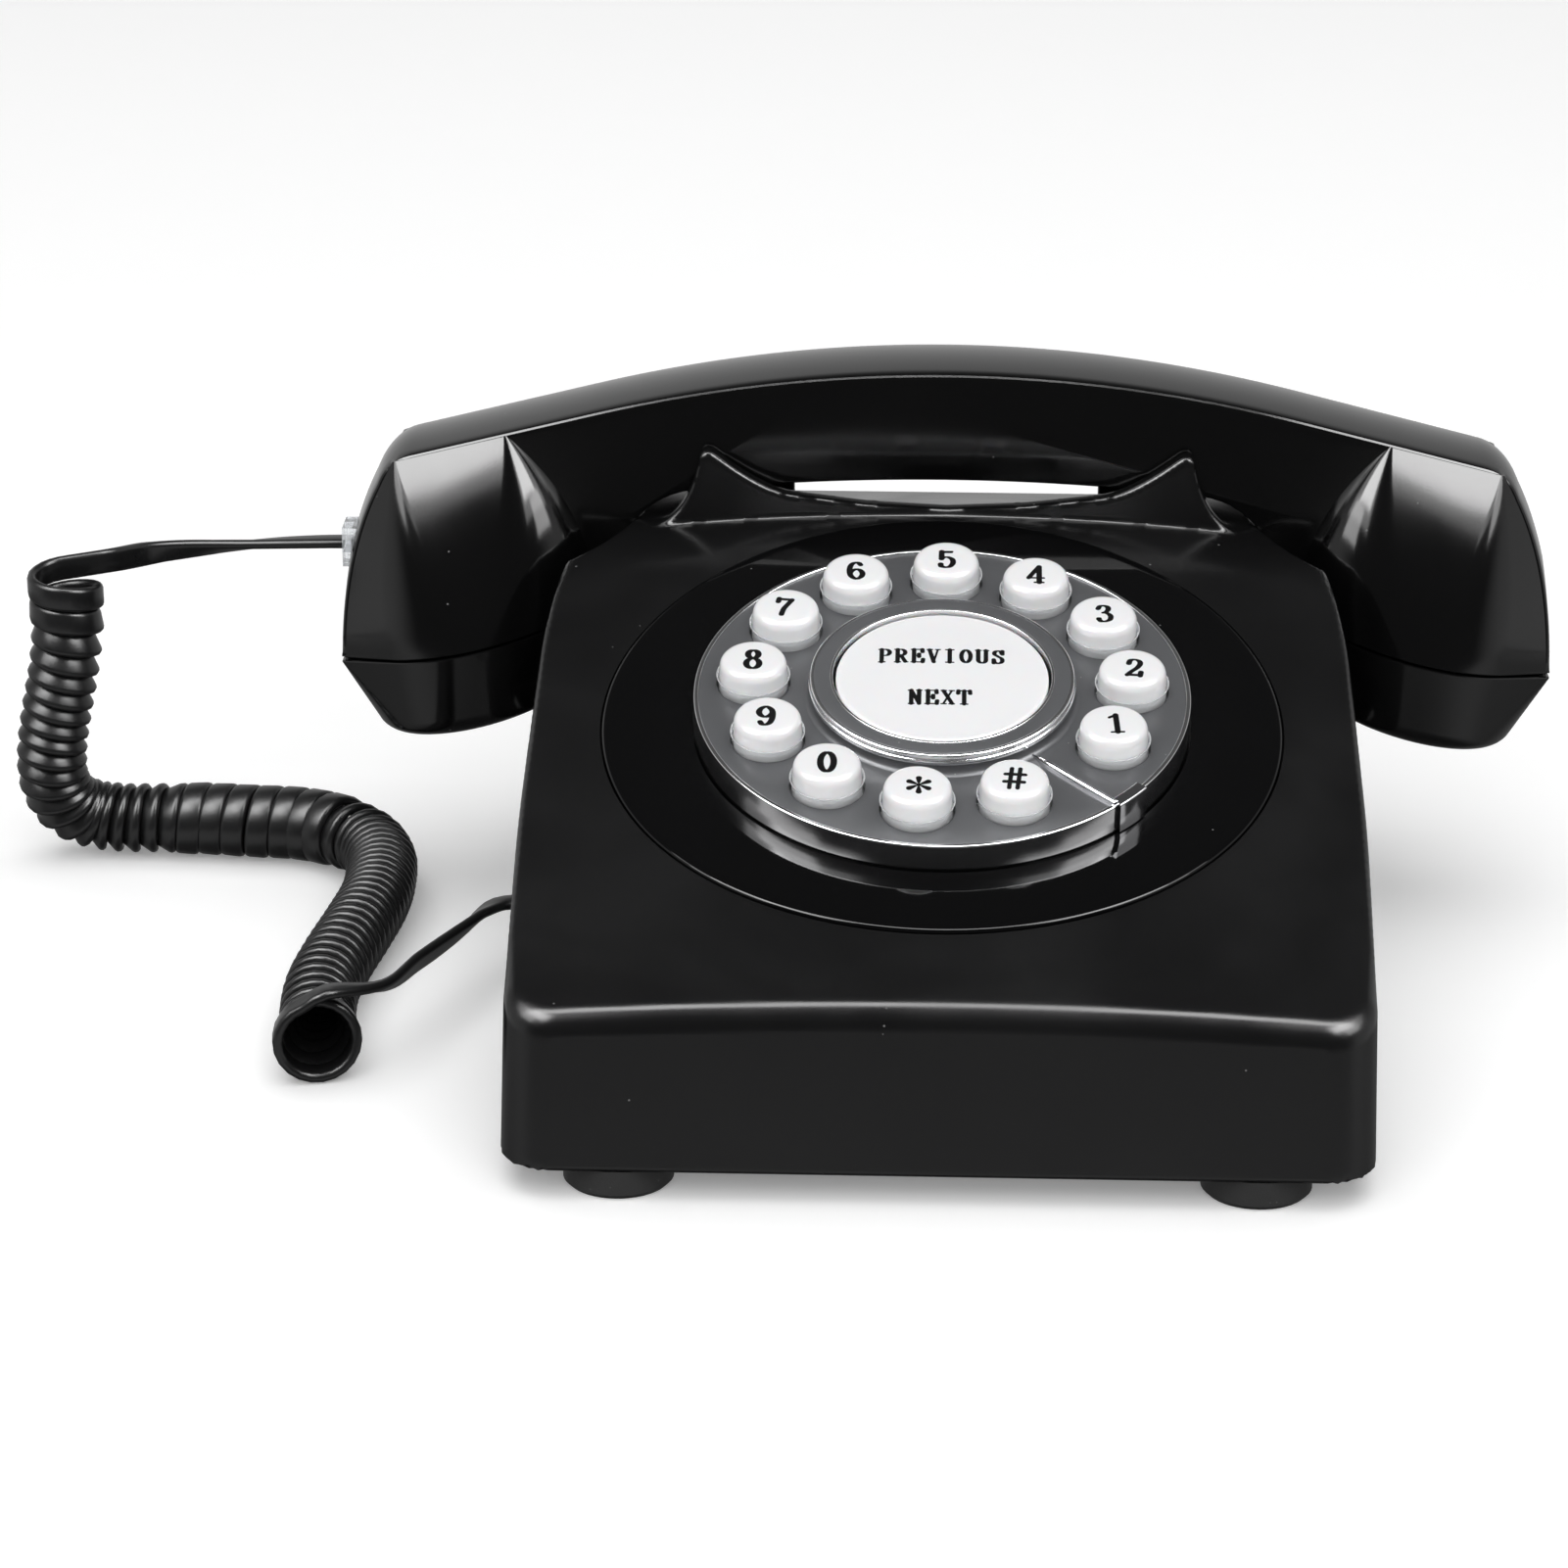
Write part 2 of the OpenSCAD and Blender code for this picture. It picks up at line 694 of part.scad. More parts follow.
hub_bore = button_r + button_fit + bezel_w;
hub_foot = stem_end;
pin_end = hub_bore + 1.2;
module dial_plate() {
    color(SMOKE)
    dial_frame()
        difference() {
            union() {
                translate([0, 0, plate_under])
                    cylinder(r = ring_bore, h = plate_t, $fn = 2 * $fn);
                translate([0, 0, hub_foot])
                    cylinder(r = hub_r, h = hub_z - hub_foot);
                for (i = POST_SLOTS)
                    at_key(post_angle(i), post_circle_r)
                        translate([0, 0, board_top])
                            cylinder(r = post_r, h = plate_under + CUT - board_top);
            }
            translate([0, 0, hub_foot - CUT])
                cylinder(r = hub_bore, h = hub_z - hub_foot + 2 * CUT);
            for (i = [0:len(KEYS) - 1])
                at_key(key_angle(i))
                    translate([0, 0, plate_under - CUT])
                        cylinder(r = skirt_r + key_fit, h = plate_t + 2 * CUT);
            for (i = POST_SLOTS)
                at_key(post_angle(i), post_circle_r)
                    translate([0, 0, board_top - CUT])
                        cylinder(r = pilot_r - 0.3, h = 5);
            translate([0, 0, pivot_z])
                rotate([0, 90, 0])
                    cylinder(r = pivot_r + run_fit, h = 2 * (pin_end + gap), center = true);
        }
}

module hub_trim() {
    color(CHROME)
    dial_frame()
        band(hub_r + 0.6, hub_r, plate_z, hub_z - 0.1);
}

module button_bezel() {
    color(CHROME)
    dial_frame()
        band(hub_bore, hub_bore - bezel_w, hub_z - 1, hub_z + 0.15);
}

// Rounded edge of a turned piece, from its side to its top
function soft_edge(r, z, soft, n = 4) =
    [for (i = [0:n]) [r - soft + soft * cos(90 * i / n), z - soft + soft * sin(90 * i / n)]];

peg_r = 3;
module key_cap(i) {
    low = plate_z + skirt_rise;
    color(WHITE)
    dial_frame()
        at_key(key_angle(i))
            rotate_extrude()
                polygon(concat([[0, low - 2.4], [peg_r, low - 2.4], [peg_r, low], [key_r, low]],
                               soft_edge(key_r, low + cap_h - 0.2, 0.9), [[0, low + cap_h]]));
}

module key_skirt(i) {
    low = flange_top - skirt_flange_t;
    high = plate_z + skirt_rise;
    color(CLEAR)
    dial_frame()
        at_key(key_angle(i))
            rotate_extrude()
                polygon(concat([[0, stem_end], [stem_r, stem_end], [stem_r, low],
                                [skirt_r + skirt_flange_w, low], [skirt_r + skirt_flange_w, flange_top],
                                [skirt_r, flange_top]],
                               soft_edge(skirt_r, high, 0.3, 2),
                               [[peg_r, high], [peg_r, high - 2.5], [0, high - 2.5]]));
}

STOP_POINT_R = 24;
STOP_ANGLES = [-46.2, -37.5];
stop_clip_w = 0.75;
stop_rib = 0.9;
module stop_sector(low, high) {
    translate([0, 0, low])
        linear_extrude(high - low)
            polygon(concat([STOP_POINT_R * [cos(STOP_ANGLES[0] + 1.6), sin(STOP_ANGLES[0] + 1.6)]],
                           [for (i = [0:6])
                               let (a = STOP_ANGLES[0] + (STOP_ANGLES[1] - STOP_ANGLES[0]) * i / 6)
                               2 * STOP_POINT_R * [cos(a), sin(a)]],
                           [1.16 * STOP_POINT_R * [cos(STOP_ANGLES[1] - 3), sin(STOP_ANGLES[1] - 3)]]));
}

module finger_stop() {
    rim_top = plate_z + ring_lip;
    color(CHROME)
    dial_frame() {
        intersection() {
            stop_sector(plate_z, rim_top + 0.3);
            cylinder(r = ring_bore, h = LONG, $fn = 2 * $fn);
        }
        intersection() {
            stop_sector(rim_top, rim_top + 0.3);
            cylinder(r = dial_r + stop_clip_w, h = LONG, $fn = 2 * $fn);
        }
        intersection() {
            stop_sector(plinth_rise - 1, rim_top + 0.3);
            difference() {
                band(dial_r + stop_clip_w, dial_r, -LONG, LONG, $fn = 2 * $fn);
                crown_log(plinth_rise);
            }
        }
        intersection() {
            stop_sector(rim_top, rim_top + stop_rib);
            rotate([0, 0, STOP_ANGLES[0]])
                translate([STOP_POINT_R, 0, 0])
                    cube([dial_r - STOP_POINT_R + 0.3, 1.2, LONG]);
        }
    }
}

dome_r = 4;
module keypad_membrane() {
    color(WHITE)
    dial_frame()
        difference() {
            union() {
                band(key_circle_r + 5, key_circle_r - 8, board_top, membrane_top);
                for (i = [0:len(KEYS) - 1])
                    at_key(key_angle(i))
                        translate([0, 0, membrane_top - CUT])
                            cylinder(r1 = dome_r, r2 = stem_r, h = dome_h + CUT);
            }
            for (i = POST_SLOTS)
                at_key(post_angle(i), post_circle_r)
                    translate([0, 0, board_top - CUT])
                        cylinder(r = post_r + gap, h = 3);
        }
}

module keypad_board() {
    color(BOARD)
    dial_frame()
        translate([0, 0, board_top - board_t])
            difference() {
                cylinder(r = board_r, h = board_t);
                for (i = POST_SLOTS)
                    at_key(post_angle(i), post_circle_r)
                        translate([0, 0, -CUT])
                            cylinder(r = pilot_r - 0.3, h = board_t + 2 * CUT);
            }
}

dial_screw_r = 1.1;
module dial_screws() {
    color(STEEL)
    dial_frame()
        for (i = POST_SLOTS)
            at_key(post_angle(i), post_circle_r)
                translate([0, 0, board_top - board_t]) {
                    translate([0, 0, -head_t])
                        cylinder(r = post_r, h = head_t);
                    translate([0, 0, -CUT])
                        cylinder(r = dial_screw_r, h = board_t + 4 + CUT);
                }
}

button_stem_y = 12;
switch_size = [6, 6, 2.5];
switch_pin_r = 1.5;
module centre_switches() {
    color(STEEL)
    dial_frame()
        for (side = [-1, 1])
            translate([0, side * button_stem_y, board_top]) {
                translate([-switch_size[0] / 2, -switch_size[1] / 2, 0])
                    cube(switch_size);
                cylinder(r = switch_pin_r, h = stem_end - 2 * gap - board_top);
            }
}

button_roof = plate_z + 0.4;
button_foot = pivot_z - pivot_r - 0.4;
module centre_button() {
    dome_r = (button_r * button_r + button_dome * button_dome) / (2 * button_dome);
    edge = hub_z + 0.3;
    color(WHITE)
    dial_frame() {
        difference() {
            intersection() {
                translate([0, 0, button_foot])
                    cylinder(r = button_r, h = LONG, $fn = 2 * $fn);
                translate([0, 0, edge + button_dome - dome_r])
                    sphere(r = dome_r, $fn = ARC_FN);
                translate([0, 0, button_foot])
                    cylinder(r1 = button_r + edge - button_foot + 1, r2 = button_r - 1.4,
                             h = edge - button_foot + 2);
            }
            translate([0, 0, button_foot - CUT])
                cylinder(r = button_r - 2, h = button_roof - button_foot + CUT);
        }
        for (side = [-1, 1]) {
            translate([0, side * button_stem_y, stem_end])
                cylinder(r = 2, h = button_roof + CUT - stem_end);
            translate([side * (button_r - 1), 0, pivot_z])
                rotate([0, side * 90, 0])
                    cylinder(r = pivot_r, h = pin_end - button_r + 1);
        }
    }
}

// ---- Hook ----
module hook_switch() {
    color(BOARD)
    translate([-hook_board_size[0] / 2, cradle_y - hook_board_size[1] / 2, hook_board_top - board_t])
        cube([hook_board_size[0], hook_board_size[1], board_t]);
    color(STEEL)
    translate([0, cradle_y, hook_board_top]) {
        translate([-hook_switch_size[0] / 2, -hook_switch_size[1] / 2, 0])
            cube(hook_switch_size);
        cylinder(r = switch_pin_r, h = hook_switch_h);
    }
}

module hook_lever() {
    reach = seat_x + plunger_r;
    color(BLACK) {
        translate([-reach, cradle_y - hook_bar_d / 2, hook_bar_z])
            cube([2 * reach, hook_bar_d, hook_bar_t]);
        for (side = [-1, 1])
            translate([side * seat_x, cradle_y, hook_bar_z])
                cylinder(r = plunger_r, h = under_z(reach) - 0.1 - hook_bar_z);
    }
}

// ---- Handset ----
module handset_frame() {
    translate([0, cradle_y, 0])
        children();
}

// The tilted frame of one head, z = 0 on its seam
module head_frame(side) {
    handset_frame()
        mirror([side < 0 ? 1 : 0, 0, 0])
            translate([head_x, 0, seam_centre_z])
                rotate([0, seam_tilt, 0])
                    children();
}

seam_end = (seam_end_x - head_x) / cos(seam_tilt);
module seam_slab(t) {
    cylinder(r = head_r, h = t, $fn = ARC_FN / 4);
    translate([seam_end - 4, -half_d, 0])
        cube([4, handle_d, t]);
}

// End of the handset in front view
function end_points() = concat(
    [[head_top_x, bow_z(head_top_x)], [end_corner_x - 6, bow_z(end_corner_x - 6)]],
    bends([end_corner_x - 3, bow_z(end_corner_x - 3)], [end_corner_x, bow_z(end_corner_x)],
          [end_corner_x + 1.6, bow_z(end_corner_x) - 4], 4),
    bends([end_corner_x + 3.4, bow_z(end_corner_x) - 8.4], [handset_half_l - 1.5, seam_z + 20],
          [handset_half_l, seam_z + 9], 4),
    [[seam_end_x, seam_z + 0.4], [seam_end_x - 6, seam_z + 2], [head_top_x, seam_z + 20]]);

module head_form(side) {
    hull() {
        head_frame(side)
            seam_slab(0.4);
        handset_frame()
            mirror([side < 0 ? 1 : 0, 0, 0])
                along(-half_d, half_d)
                    polygon(end_points());
    }
}

// Top of the handle in front view, from the left end corner to the right
function bow_points(lift) = [for (i = [-16:16])
    let (x = i / 16 * (end_corner_x - 3)) [x, bow_z(abs(x)) + lift]];
under_end_x = seat_x + plunger_r;
function under_points(side) =
    [for (p = bends([under_end_x, under_z(under_end_x)], [head_x - head_r, handle_under_z - 4.3],
                    [head_x - head_r + 4, seam_centre_z + 11], 8)) [side * p[0], p[1]]];
function under_bow() =
    [for (i = [8:-1:-8]) let (x = i / 8 * (under_end_x - 0.5)) [x, under_z(x)]];
function reversed(list) = [for (i = [len(list) - 1:-1:0]) list[i]];

weight_size = [60, 13, 8];
shell_floor = handle_under_z + 3;
module handset_shell() {
    color(BLACK)
    difference() {
        union() {
            head_form(-1);
            head_form(1);
            handset_frame() {
                along(-half_d, half_d)
                    polygon(concat(bow_points(0), [[head_x + 4, 62]], reversed(under_points(1)),
                                   under_bow(), under_points(-1), [[-head_x - 4, 62]]));
                hull() {
                    along(-half_d, half_d)
                        polygon(bow_points(-0.1));
                    along(-handle_d / 5, handle_d / 5)
                        polygon(bow_points(handle_crown));
                }
            }
        }
        for (side = [-1, 1]) {
            head_frame(side) {
                translate([0, 0, -CUT])
                    cylinder(r = head_r - 3, h = 4);
                cylinder(r = capsule_r - 1, h = 15);
            }
            handset_frame()
                translate([side * weight_size[0] / 2, 0, shell_floor + weight_size[2] / 2])
                    rotate([0, side * 132, 0])
                        cylinder(r = 3, h = 46);
        }
        handset_frame()
            translate([-weight_size[0] / 2 - 2, -weight_size[1] / 2, shell_floor])
                cube([weight_size[0] + 4, weight_size[1], weight_size[2] + 1]);
        translate([socket_face_x - 10, cradle_y - jack_size[1] / 2, socket_z - jack_size[2] / 2])
            cube([jack_size[0] + 10, jack_size[1], jack_size[2]]);
    }
}

module handset_weight() {
    color(STEEL)
    handset_frame()
        translate([-weight_size[0] / 2, -weight_size[1] / 2, shell_floor])
            cube(weight_size);
}

cap_edge = 4;
cap_floor = 2.5;
module cap_form(side) {
    head_frame(side)
        hull() {
            translate([0, 0, -seam_gap - 1])
                seam_slab(1);
            translate([3, 0, cap_edge - cap_depth])
                ring_form(cap_foot_r - cap_edge, cap_edge);
        }
}

module cap_inside(side) {
    head_frame(side) {
        translate([2, 0, cap_floor - cap_depth])
            cylinder(r = capsule_r + gap, h = cap_depth + 5);
        translate([0, 0, -3])
            cylinder(r = head_r - 5, h = 10);
    }
}

module cap_spigot(side) {
    head_frame(side)
        band(head_r - 3 - 0.1, head_r - 5, -3, 2.6);
}

module sound_hole(side, r, angle) {
    head_frame(side)
        translate([3 + r * cos(angle), r * sin(angle), -cap_depth - CUT])
            cylinder(r = 0.9, h = cap_floor + 2 * CUT, $fn = 16);
}

module mouth_cap() {
    color(BLACK)
    difference() {
        union() {
            cap_form(-1);
            cap_spigot(-1);
        }
        cap_inside(-1);
        sound_hole(-1, 0, 0);
        for (i = [0:5])
            sound_hole(-1, 5, 60 * i);
    }
}

module ear_cap() {
    color(BLACK)
    difference() {
        union() {
            cap_form(1);
            cap_spigot(1);
        }
        cap_inside(1);
        sound_hole(1, 0, 0);
        for (i = [0:5])
            sound_hole(1, 4, 60 * i);
        for (i = [0:11])
            sound_hole(1, 8, 30 * i);
    }
}

module capsule(side, h) {
    head_frame(side)
        translate([2, 0, cap_floor - cap_depth]) {
            cylinder(r = capsule_r, h = h);
            cylinder(r = capsule_r - 5, h = h + 2);
        }
}

module microphone_capsule() {
    color(STEEL)
    capsule(-1, 5);
}

module receiver_capsule() {
    color(STEEL)
    capsule(1, 7);
}

module handset_socket() {
    color(BLACK)
    translate([socket_face_x, cradle_y, socket_z])
        jack_body(jack_size, plug_hole(plug_fit));
}

module cord_plug_handset() {
    color(CLEAR)
    translate([socket_face_x, cradle_y, socket_z])
        plug_body();
}

// ---- Cord ----
coil_r = coil_d / 2;
coil_floor_z = coil_r + 0.1;
// The hanging part of the coil, then its way along the desk to the front
COIL_HANG = [[-166, 57], [-166, 47], [-167, 39], [-169, 29], [-170, 22]];
COIL_TURN = [[-170, 15.5], [-168, 10.5], [-164, 7.6]];
COIL_DESK = [[-158, 64], [-150, 64], [-141, 64], [-132, 63], [-123, 62], [-115.5, 58.5], [-109, 52],
             [-105.5, 43], [-104.5, 33], [-104.5, 22], [-106, 8], [-108, -8], [-109, -22], [-108, -37],
             [-106, -51]];
LEAD_TOP = [[-122, 64.6], [-131, 63.7], [-140, 62.7], [-150, 61.3], [-158, 59.6], [-164, 57.4]];
lead_base_z = 11;
LEAD_BASE = [[-106, -47], [-103, -43], [-97.5, -38], [-90.5, -29.5], [-84, -18], [-79.5, -4]];

function unit(v) = v / norm(v);
module tube(points, r, sides) {
    last = len(points) - 1;
    rings = [for (i = [0:last])
        let (way = unit(points[min(i + 1, last)] - points[max(i - 1, 0)]),
             side = unit(cross(way, [1, 1, 1])),
             rise = cross(side, way))
        for (j = [0:sides - 1])
            points[i] + r * (cos(360 * j / sides) * side + sin(360 * j / sides) * rise)];
    skin = [for (i = [0:last - 1], j = [0:sides - 1])
        let (k = (j + 1) % sides)
        [i * sides + j, i * sides + k, (i + 1) * sides + k, (i + 1) * sides + j]];
    polyhedron(points = rings,
               faces = concat([[for (j = [sides - 1:-1:0]) j]], skin,
                              [[for (j = [0:sides - 1]) last * sides + j]]));
}

module cord_coil() {
    color(BLACK)
    tube(concat([for (p = COIL_HANG) [p[0], cradle_y + 2, p[1]]],
                [for (i = [0:2])
                    [COIL_TURN[i][0], cradle_y + 3 + i * 1.5, COIL_TURN[i][1]]],
                [for (p = COIL_DESK) [p[0], p[1], coil_floor_z]]), coil_r, 16);
}

module cord_lead_handset() {
    plug_x = socket_face_x - plug_proud;
    color(BLACK)
    tube(concat([[plug_x, cradle_y, socket_z], [plug_x - 3, cradle_y, socket_z]],
                [for (i = [0:len(LEAD_TOP) - 1])
                    [LEAD_TOP[i][0], cradle_y + i * 0.4, LEAD_TOP[i][1]]]), lead_d / 2, 8);
}

module cord_lead_base() {
    plug_x = jack_face_x - plug_proud;
    color(BLACK)
    tube(concat([for (p = LEAD_BASE) [p[0], p[1], lead_base_z]],
                [[plug_x - 3, jack_y, jack_z], [plug_x, jack_y, jack_z]]), lead_d / 2, 8);
}

upper_housing();
base_plate();
rubber_feet();
base_screws();
dial_plinth();
dial_ring();
dial_plate();
hub_trim();
button_bezel();
finger_stop();
keypad_membrane();
keypad_board();
dial_screws();
centre_switches();
main_board();
board_parts();
ringer_speaker();
ballast_weight();
hook_switch();
line_jack();
handset_jack();
hook_lever();
centre_button();
handset_shell();
mouth_cap();
ear_cap();
microphone_capsule();
receiver_capsule();
handset_weight();
handset_socket();
cord_plug_base();
cord_lead_base();
cord_coil();
cord_lead_handset();
cord_plug_handset();
for (i = [0:len(KEYS) - 1]) {
    key_cap(i);
    key_skirt(i);
}
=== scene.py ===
# %% [markdown]
# # A black desk telephone with a dial-shaped keypad
# The telephone stands on four rubber feet. Its hollow housing carries a round dial with twelve keys,
# a rocker in the middle and a handset that lies across the rear. A curly cord joins the two.
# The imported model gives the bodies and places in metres, and finer meshes stand in for its plain
# solids.

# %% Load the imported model
import json
import math

import bmesh
import bpy
import numpy as np
from mathutils import Matrix, Vector


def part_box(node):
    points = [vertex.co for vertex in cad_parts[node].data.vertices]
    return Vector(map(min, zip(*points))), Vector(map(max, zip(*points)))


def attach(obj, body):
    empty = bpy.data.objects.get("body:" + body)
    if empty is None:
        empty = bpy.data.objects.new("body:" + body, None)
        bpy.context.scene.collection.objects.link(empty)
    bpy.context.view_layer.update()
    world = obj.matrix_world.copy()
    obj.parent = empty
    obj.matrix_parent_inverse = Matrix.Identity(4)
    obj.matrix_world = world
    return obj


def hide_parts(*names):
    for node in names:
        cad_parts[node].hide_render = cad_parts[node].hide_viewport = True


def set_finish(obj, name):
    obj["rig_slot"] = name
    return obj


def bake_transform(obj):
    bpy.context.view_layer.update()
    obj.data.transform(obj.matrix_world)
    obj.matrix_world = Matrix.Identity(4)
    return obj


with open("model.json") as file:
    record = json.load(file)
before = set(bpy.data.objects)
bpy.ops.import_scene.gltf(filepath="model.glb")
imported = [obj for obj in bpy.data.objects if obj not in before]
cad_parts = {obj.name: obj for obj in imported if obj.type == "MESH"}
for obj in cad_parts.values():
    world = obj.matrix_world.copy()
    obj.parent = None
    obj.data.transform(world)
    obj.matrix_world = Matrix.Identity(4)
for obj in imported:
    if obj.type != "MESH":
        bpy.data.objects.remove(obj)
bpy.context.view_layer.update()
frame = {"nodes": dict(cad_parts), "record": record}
MM = 0.001
record = frame["record"]

# %% [markdown]
# ## Camera
# A long lens from a little above flattens the telephone the way a product picture does. The camera
# is placed by its spot, the point it looks at and a slight roll, which together give its three axes.

# %% Camera
CAMERA_SPOT = Vector((-0.94, -851.63, 350.06)) * MM
CAMERA_AIM = Vector((-24.93, -100.59, 76.04)) * MM
CAMERA_LENS = 116.95
CAMERA_ROLL = math.radians(0.21)

ahead = (CAMERA_AIM - CAMERA_SPOT).normalized()
level = ahead.cross(Vector((0, 0, 1))).normalized()
upright = level.cross(ahead)
right = level * math.cos(CAMERA_ROLL) + upright * math.sin(CAMERA_ROLL)
up = upright * math.cos(CAMERA_ROLL) - level * math.sin(CAMERA_ROLL)
camera = bpy.data.objects.new("camera", bpy.data.cameras.new("camera"))
camera.data.lens = CAMERA_LENS
camera.data.sensor_width = 36
axes = Matrix((right, up, -ahead)).transposed().to_4x4()
camera.matrix_world = Matrix.Translation(CAMERA_SPOT) @ axes
bpy.context.scene.collection.objects.link(camera)
bpy.context.scene.camera = camera
print("camera", [round(v, 3) for v in CAMERA_SPOT])

# %% [markdown]
# ## Mesh helper
# Most pieces are computed as lists of points and faces. One helper turns such lists into an object,
# smooths it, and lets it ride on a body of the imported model.

# %% Make a piece from points and faces
def make_piece(name, points, faces, body, slot, replaces=(), sharp=40):
    mesh = bpy.data.meshes.new(name)
    mesh.from_pydata([tuple(p) for p in points], [], [tuple(f) for f in faces])
    return dress_piece(name, mesh, body, slot, replaces, sharp)


def dress_piece(name, mesh, body, slot, replaces=(), sharp=40):
    """Shades a mesh smooth except at edges sharper than the given angle, and seats it on its body."""
    mesh.validate()
    shape = bmesh.new()
    shape.from_mesh(mesh)
    bmesh.ops.recalc_face_normals(shape, faces=shape.faces)
    for face in shape.faces:
        face.smooth = True
    for edge in shape.edges:
        if len(edge.link_faces) == 2 and edge.calc_face_angle(0) > math.radians(sharp):
            edge.smooth = False
    shape.to_mesh(mesh)
    shape.free()
    piece = bpy.data.objects.new(name, mesh)
    bpy.context.scene.collection.objects.link(piece)
    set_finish(piece, slot)
    if body:
        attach(piece, body)
    if replaces:
        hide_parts(*replaces)
    print(name, len(mesh.vertices), "points")
    return piece


# %% [markdown]
# ## Curly cord
# A handset cord is a flat ribbon wound on a mandrel and set with heat. Where it is pulled the wide
# side of the ribbon lies along the coil, and where it rests the turns lean on each other like
# stacked washers. So the helix has a changing pitch, and the ribbon's lean follows the pitch.

# %% Route of the coil's middle line
# It hangs from the handset, turns on the desk and runs to the front; all places are in millimetres
HANG = [(-166, 60, 57), (-166, 60, 47), (-167, 60, 39), (-169, 60, 29), (-170, 60, 22)]
TURN = [(-170, 61, 16), (-168, 62.5, 11), (-164, 64, 8.1)]
DESK = [(-158, 64), (-150, 64), (-141, 64), (-132, 63), (-123, 62), (-115.5, 58.5), (-109, 52),
        (-105.5, 43), (-104.5, 33), (-104.5, 22), (-106, 8), (-108, -8), (-109, -22), (-108, -37),
        (-106, -51)]
COIL_R = 7.1
DESK_Z = COIL_R + 0.1
RIBBON_W = 4.7
RIBBON_T = 1.8
SPLINE_STEPS = 40


def smooth_line(knots, step):
    """A Catmull-Rom curve through the knots, as points an even step apart."""
    before = 2 * np.array(knots[0]) - knots[1]
    after = 2 * np.array(knots[-1]) - knots[-2]
    k = np.array([before, *knots, after], float)
    fine = []
    for a, b, c, d in zip(k, k[1:], k[2:], k[3:]):
        for t in np.linspace(0, 1, SPLINE_STEPS, endpoint=False):
            fine.append(0.5 * (2 * b + (c - a) * t + (2 * a - 5 * b + 4 * c - d) * t**2
                               + (3 * b - a - 3 * c + d) * t**3))
    fine = np.array(fine + [k[-2]])
    run = np.concatenate([[0], np.cumsum(np.linalg.norm(np.diff(fine, axis=0), axis=1))])
    even = np.linspace(0, run[-1], int(run[-1] / step) + 1)
    return np.stack([np.interp(even, run, fine[:, i]) for i in range(k.shape[1])], axis=1), even


coil_line, coil_run = smooth_line(HANG + TURN + [(x, y, DESK_Z) for x, y in DESK], 0.25)
print("coil's middle line", round(coil_run[-1]), "mm")

# %% Pitch along the coil: loose at the top, flat turns on the desk, leaning turns to the end
# Each pair is a distance along the middle line and the pitch there
PITCH_AT = [(0, 5.2), (9, 4.4), (20, 3.3), (36, 3.0), (48, 2.8), (58, 2.8), (66, 3.6), (71, 4.6),
            (102, 4.7), (111, 3.4), (118, 2.8), (140, 2.8), (165, 3.4), (185, 3.8), (300, 3.8)]
pitch = np.interp(coil_run, *zip(*PITCH_AT))
# The lead comes in behind the coil, three quarters of a turn round from its left side
FIRST_TURN = 0.75
turns = FIRST_TURN + np.concatenate([[0], np.cumsum(np.diff(coil_run) / pitch[1:])])
print("turns", round(turns[-1] - FIRST_TURN, 1))


# %% Frames carried along the middle line without twisting
def carried_frames(line):
    way = np.gradient(line, axis=0)
    way /= np.linalg.norm(way, axis=1, keepdims=True)
    side = np.zeros_like(way)
    side[0] = np.cross(way[0], [0, 1, 0])
    side[0] /= np.linalg.norm(side[0])
    for i in range(1, len(way)):
        s = side[i - 1] - way[i] * side[i - 1].dot(way[i])
        side[i] = s / np.linalg.norm(s)
    return way, side, np.cross(way, side)


# %% Helix: where the ribbon's middle runs and which way its wide side faces
POINTS_PER_TURN = 22
# The ribbon leaves the last loop at its top
LAST_TURN = int(turns[-1]) - 0.5
way, side, rise = carried_frames(coil_line)
count = np.linspace(FIRST_TURN, LAST_TURN, int((LAST_TURN - FIRST_TURN) * POINTS_PER_TURN))


def along_coil(values):
    return np.stack([np.interp(count, turns, values[:, i]) for i in range(3)], axis=1)


# Turns closer than the ribbon is wide lean over, just enough to clear each other
LEAN_ROOM = 1.05
LEAN_FADE = 0.6
pitch_here = np.interp(count, turns, pitch)
lean = np.arcsin(np.clip(LEAN_ROOM * RIBBON_T / pitch_here, 0, 1))
lean = lean * np.clip((RIBBON_W - pitch_here) / LEAN_FADE, 0, 1)
reach = COIL_R - (RIBBON_W * np.sin(lean) + RIBBON_T * np.cos(lean)) / 2
# The last loops lie flat again and open up before the ribbon leaves them
END_TURNS = 2.6
END_GROWTH = 0.9
end_loop = np.clip((count - (LAST_TURN - END_TURNS)) / END_TURNS, 0, 1)
reach = reach * (1 - end_loop) + (COIL_R + END_GROWTH - RIBBON_T / 2) * end_loop
lean = lean * (1 - end_loop)
angle = 2 * np.pi * count
out = -along_coil(side) * np.cos(angle)[:, None] + along_coil(rise) * np.sin(angle)[:, None]
coil_path = along_coil(coil_line) + out * reach[:, None]
coil_path[:, 2] += end_loop * END_GROWTH
coil_wide = along_coil(way) * np.cos(lean)[:, None] + out * np.sin(lean)[:, None]
print("coil starts at", coil_path[0].round(1), "and ends at", coil_path[-1].round(1))


# %% Ends of the ribbon, from each plug to the coil
LEAD_STEP = 1.5
LEAD_Y = 58


def lead_path(knots):
    return smooth_line([np.array(k, float) for k in knots], LEAD_STEP)[0]


def unit_way(way):
    return way / np.linalg.norm(way)


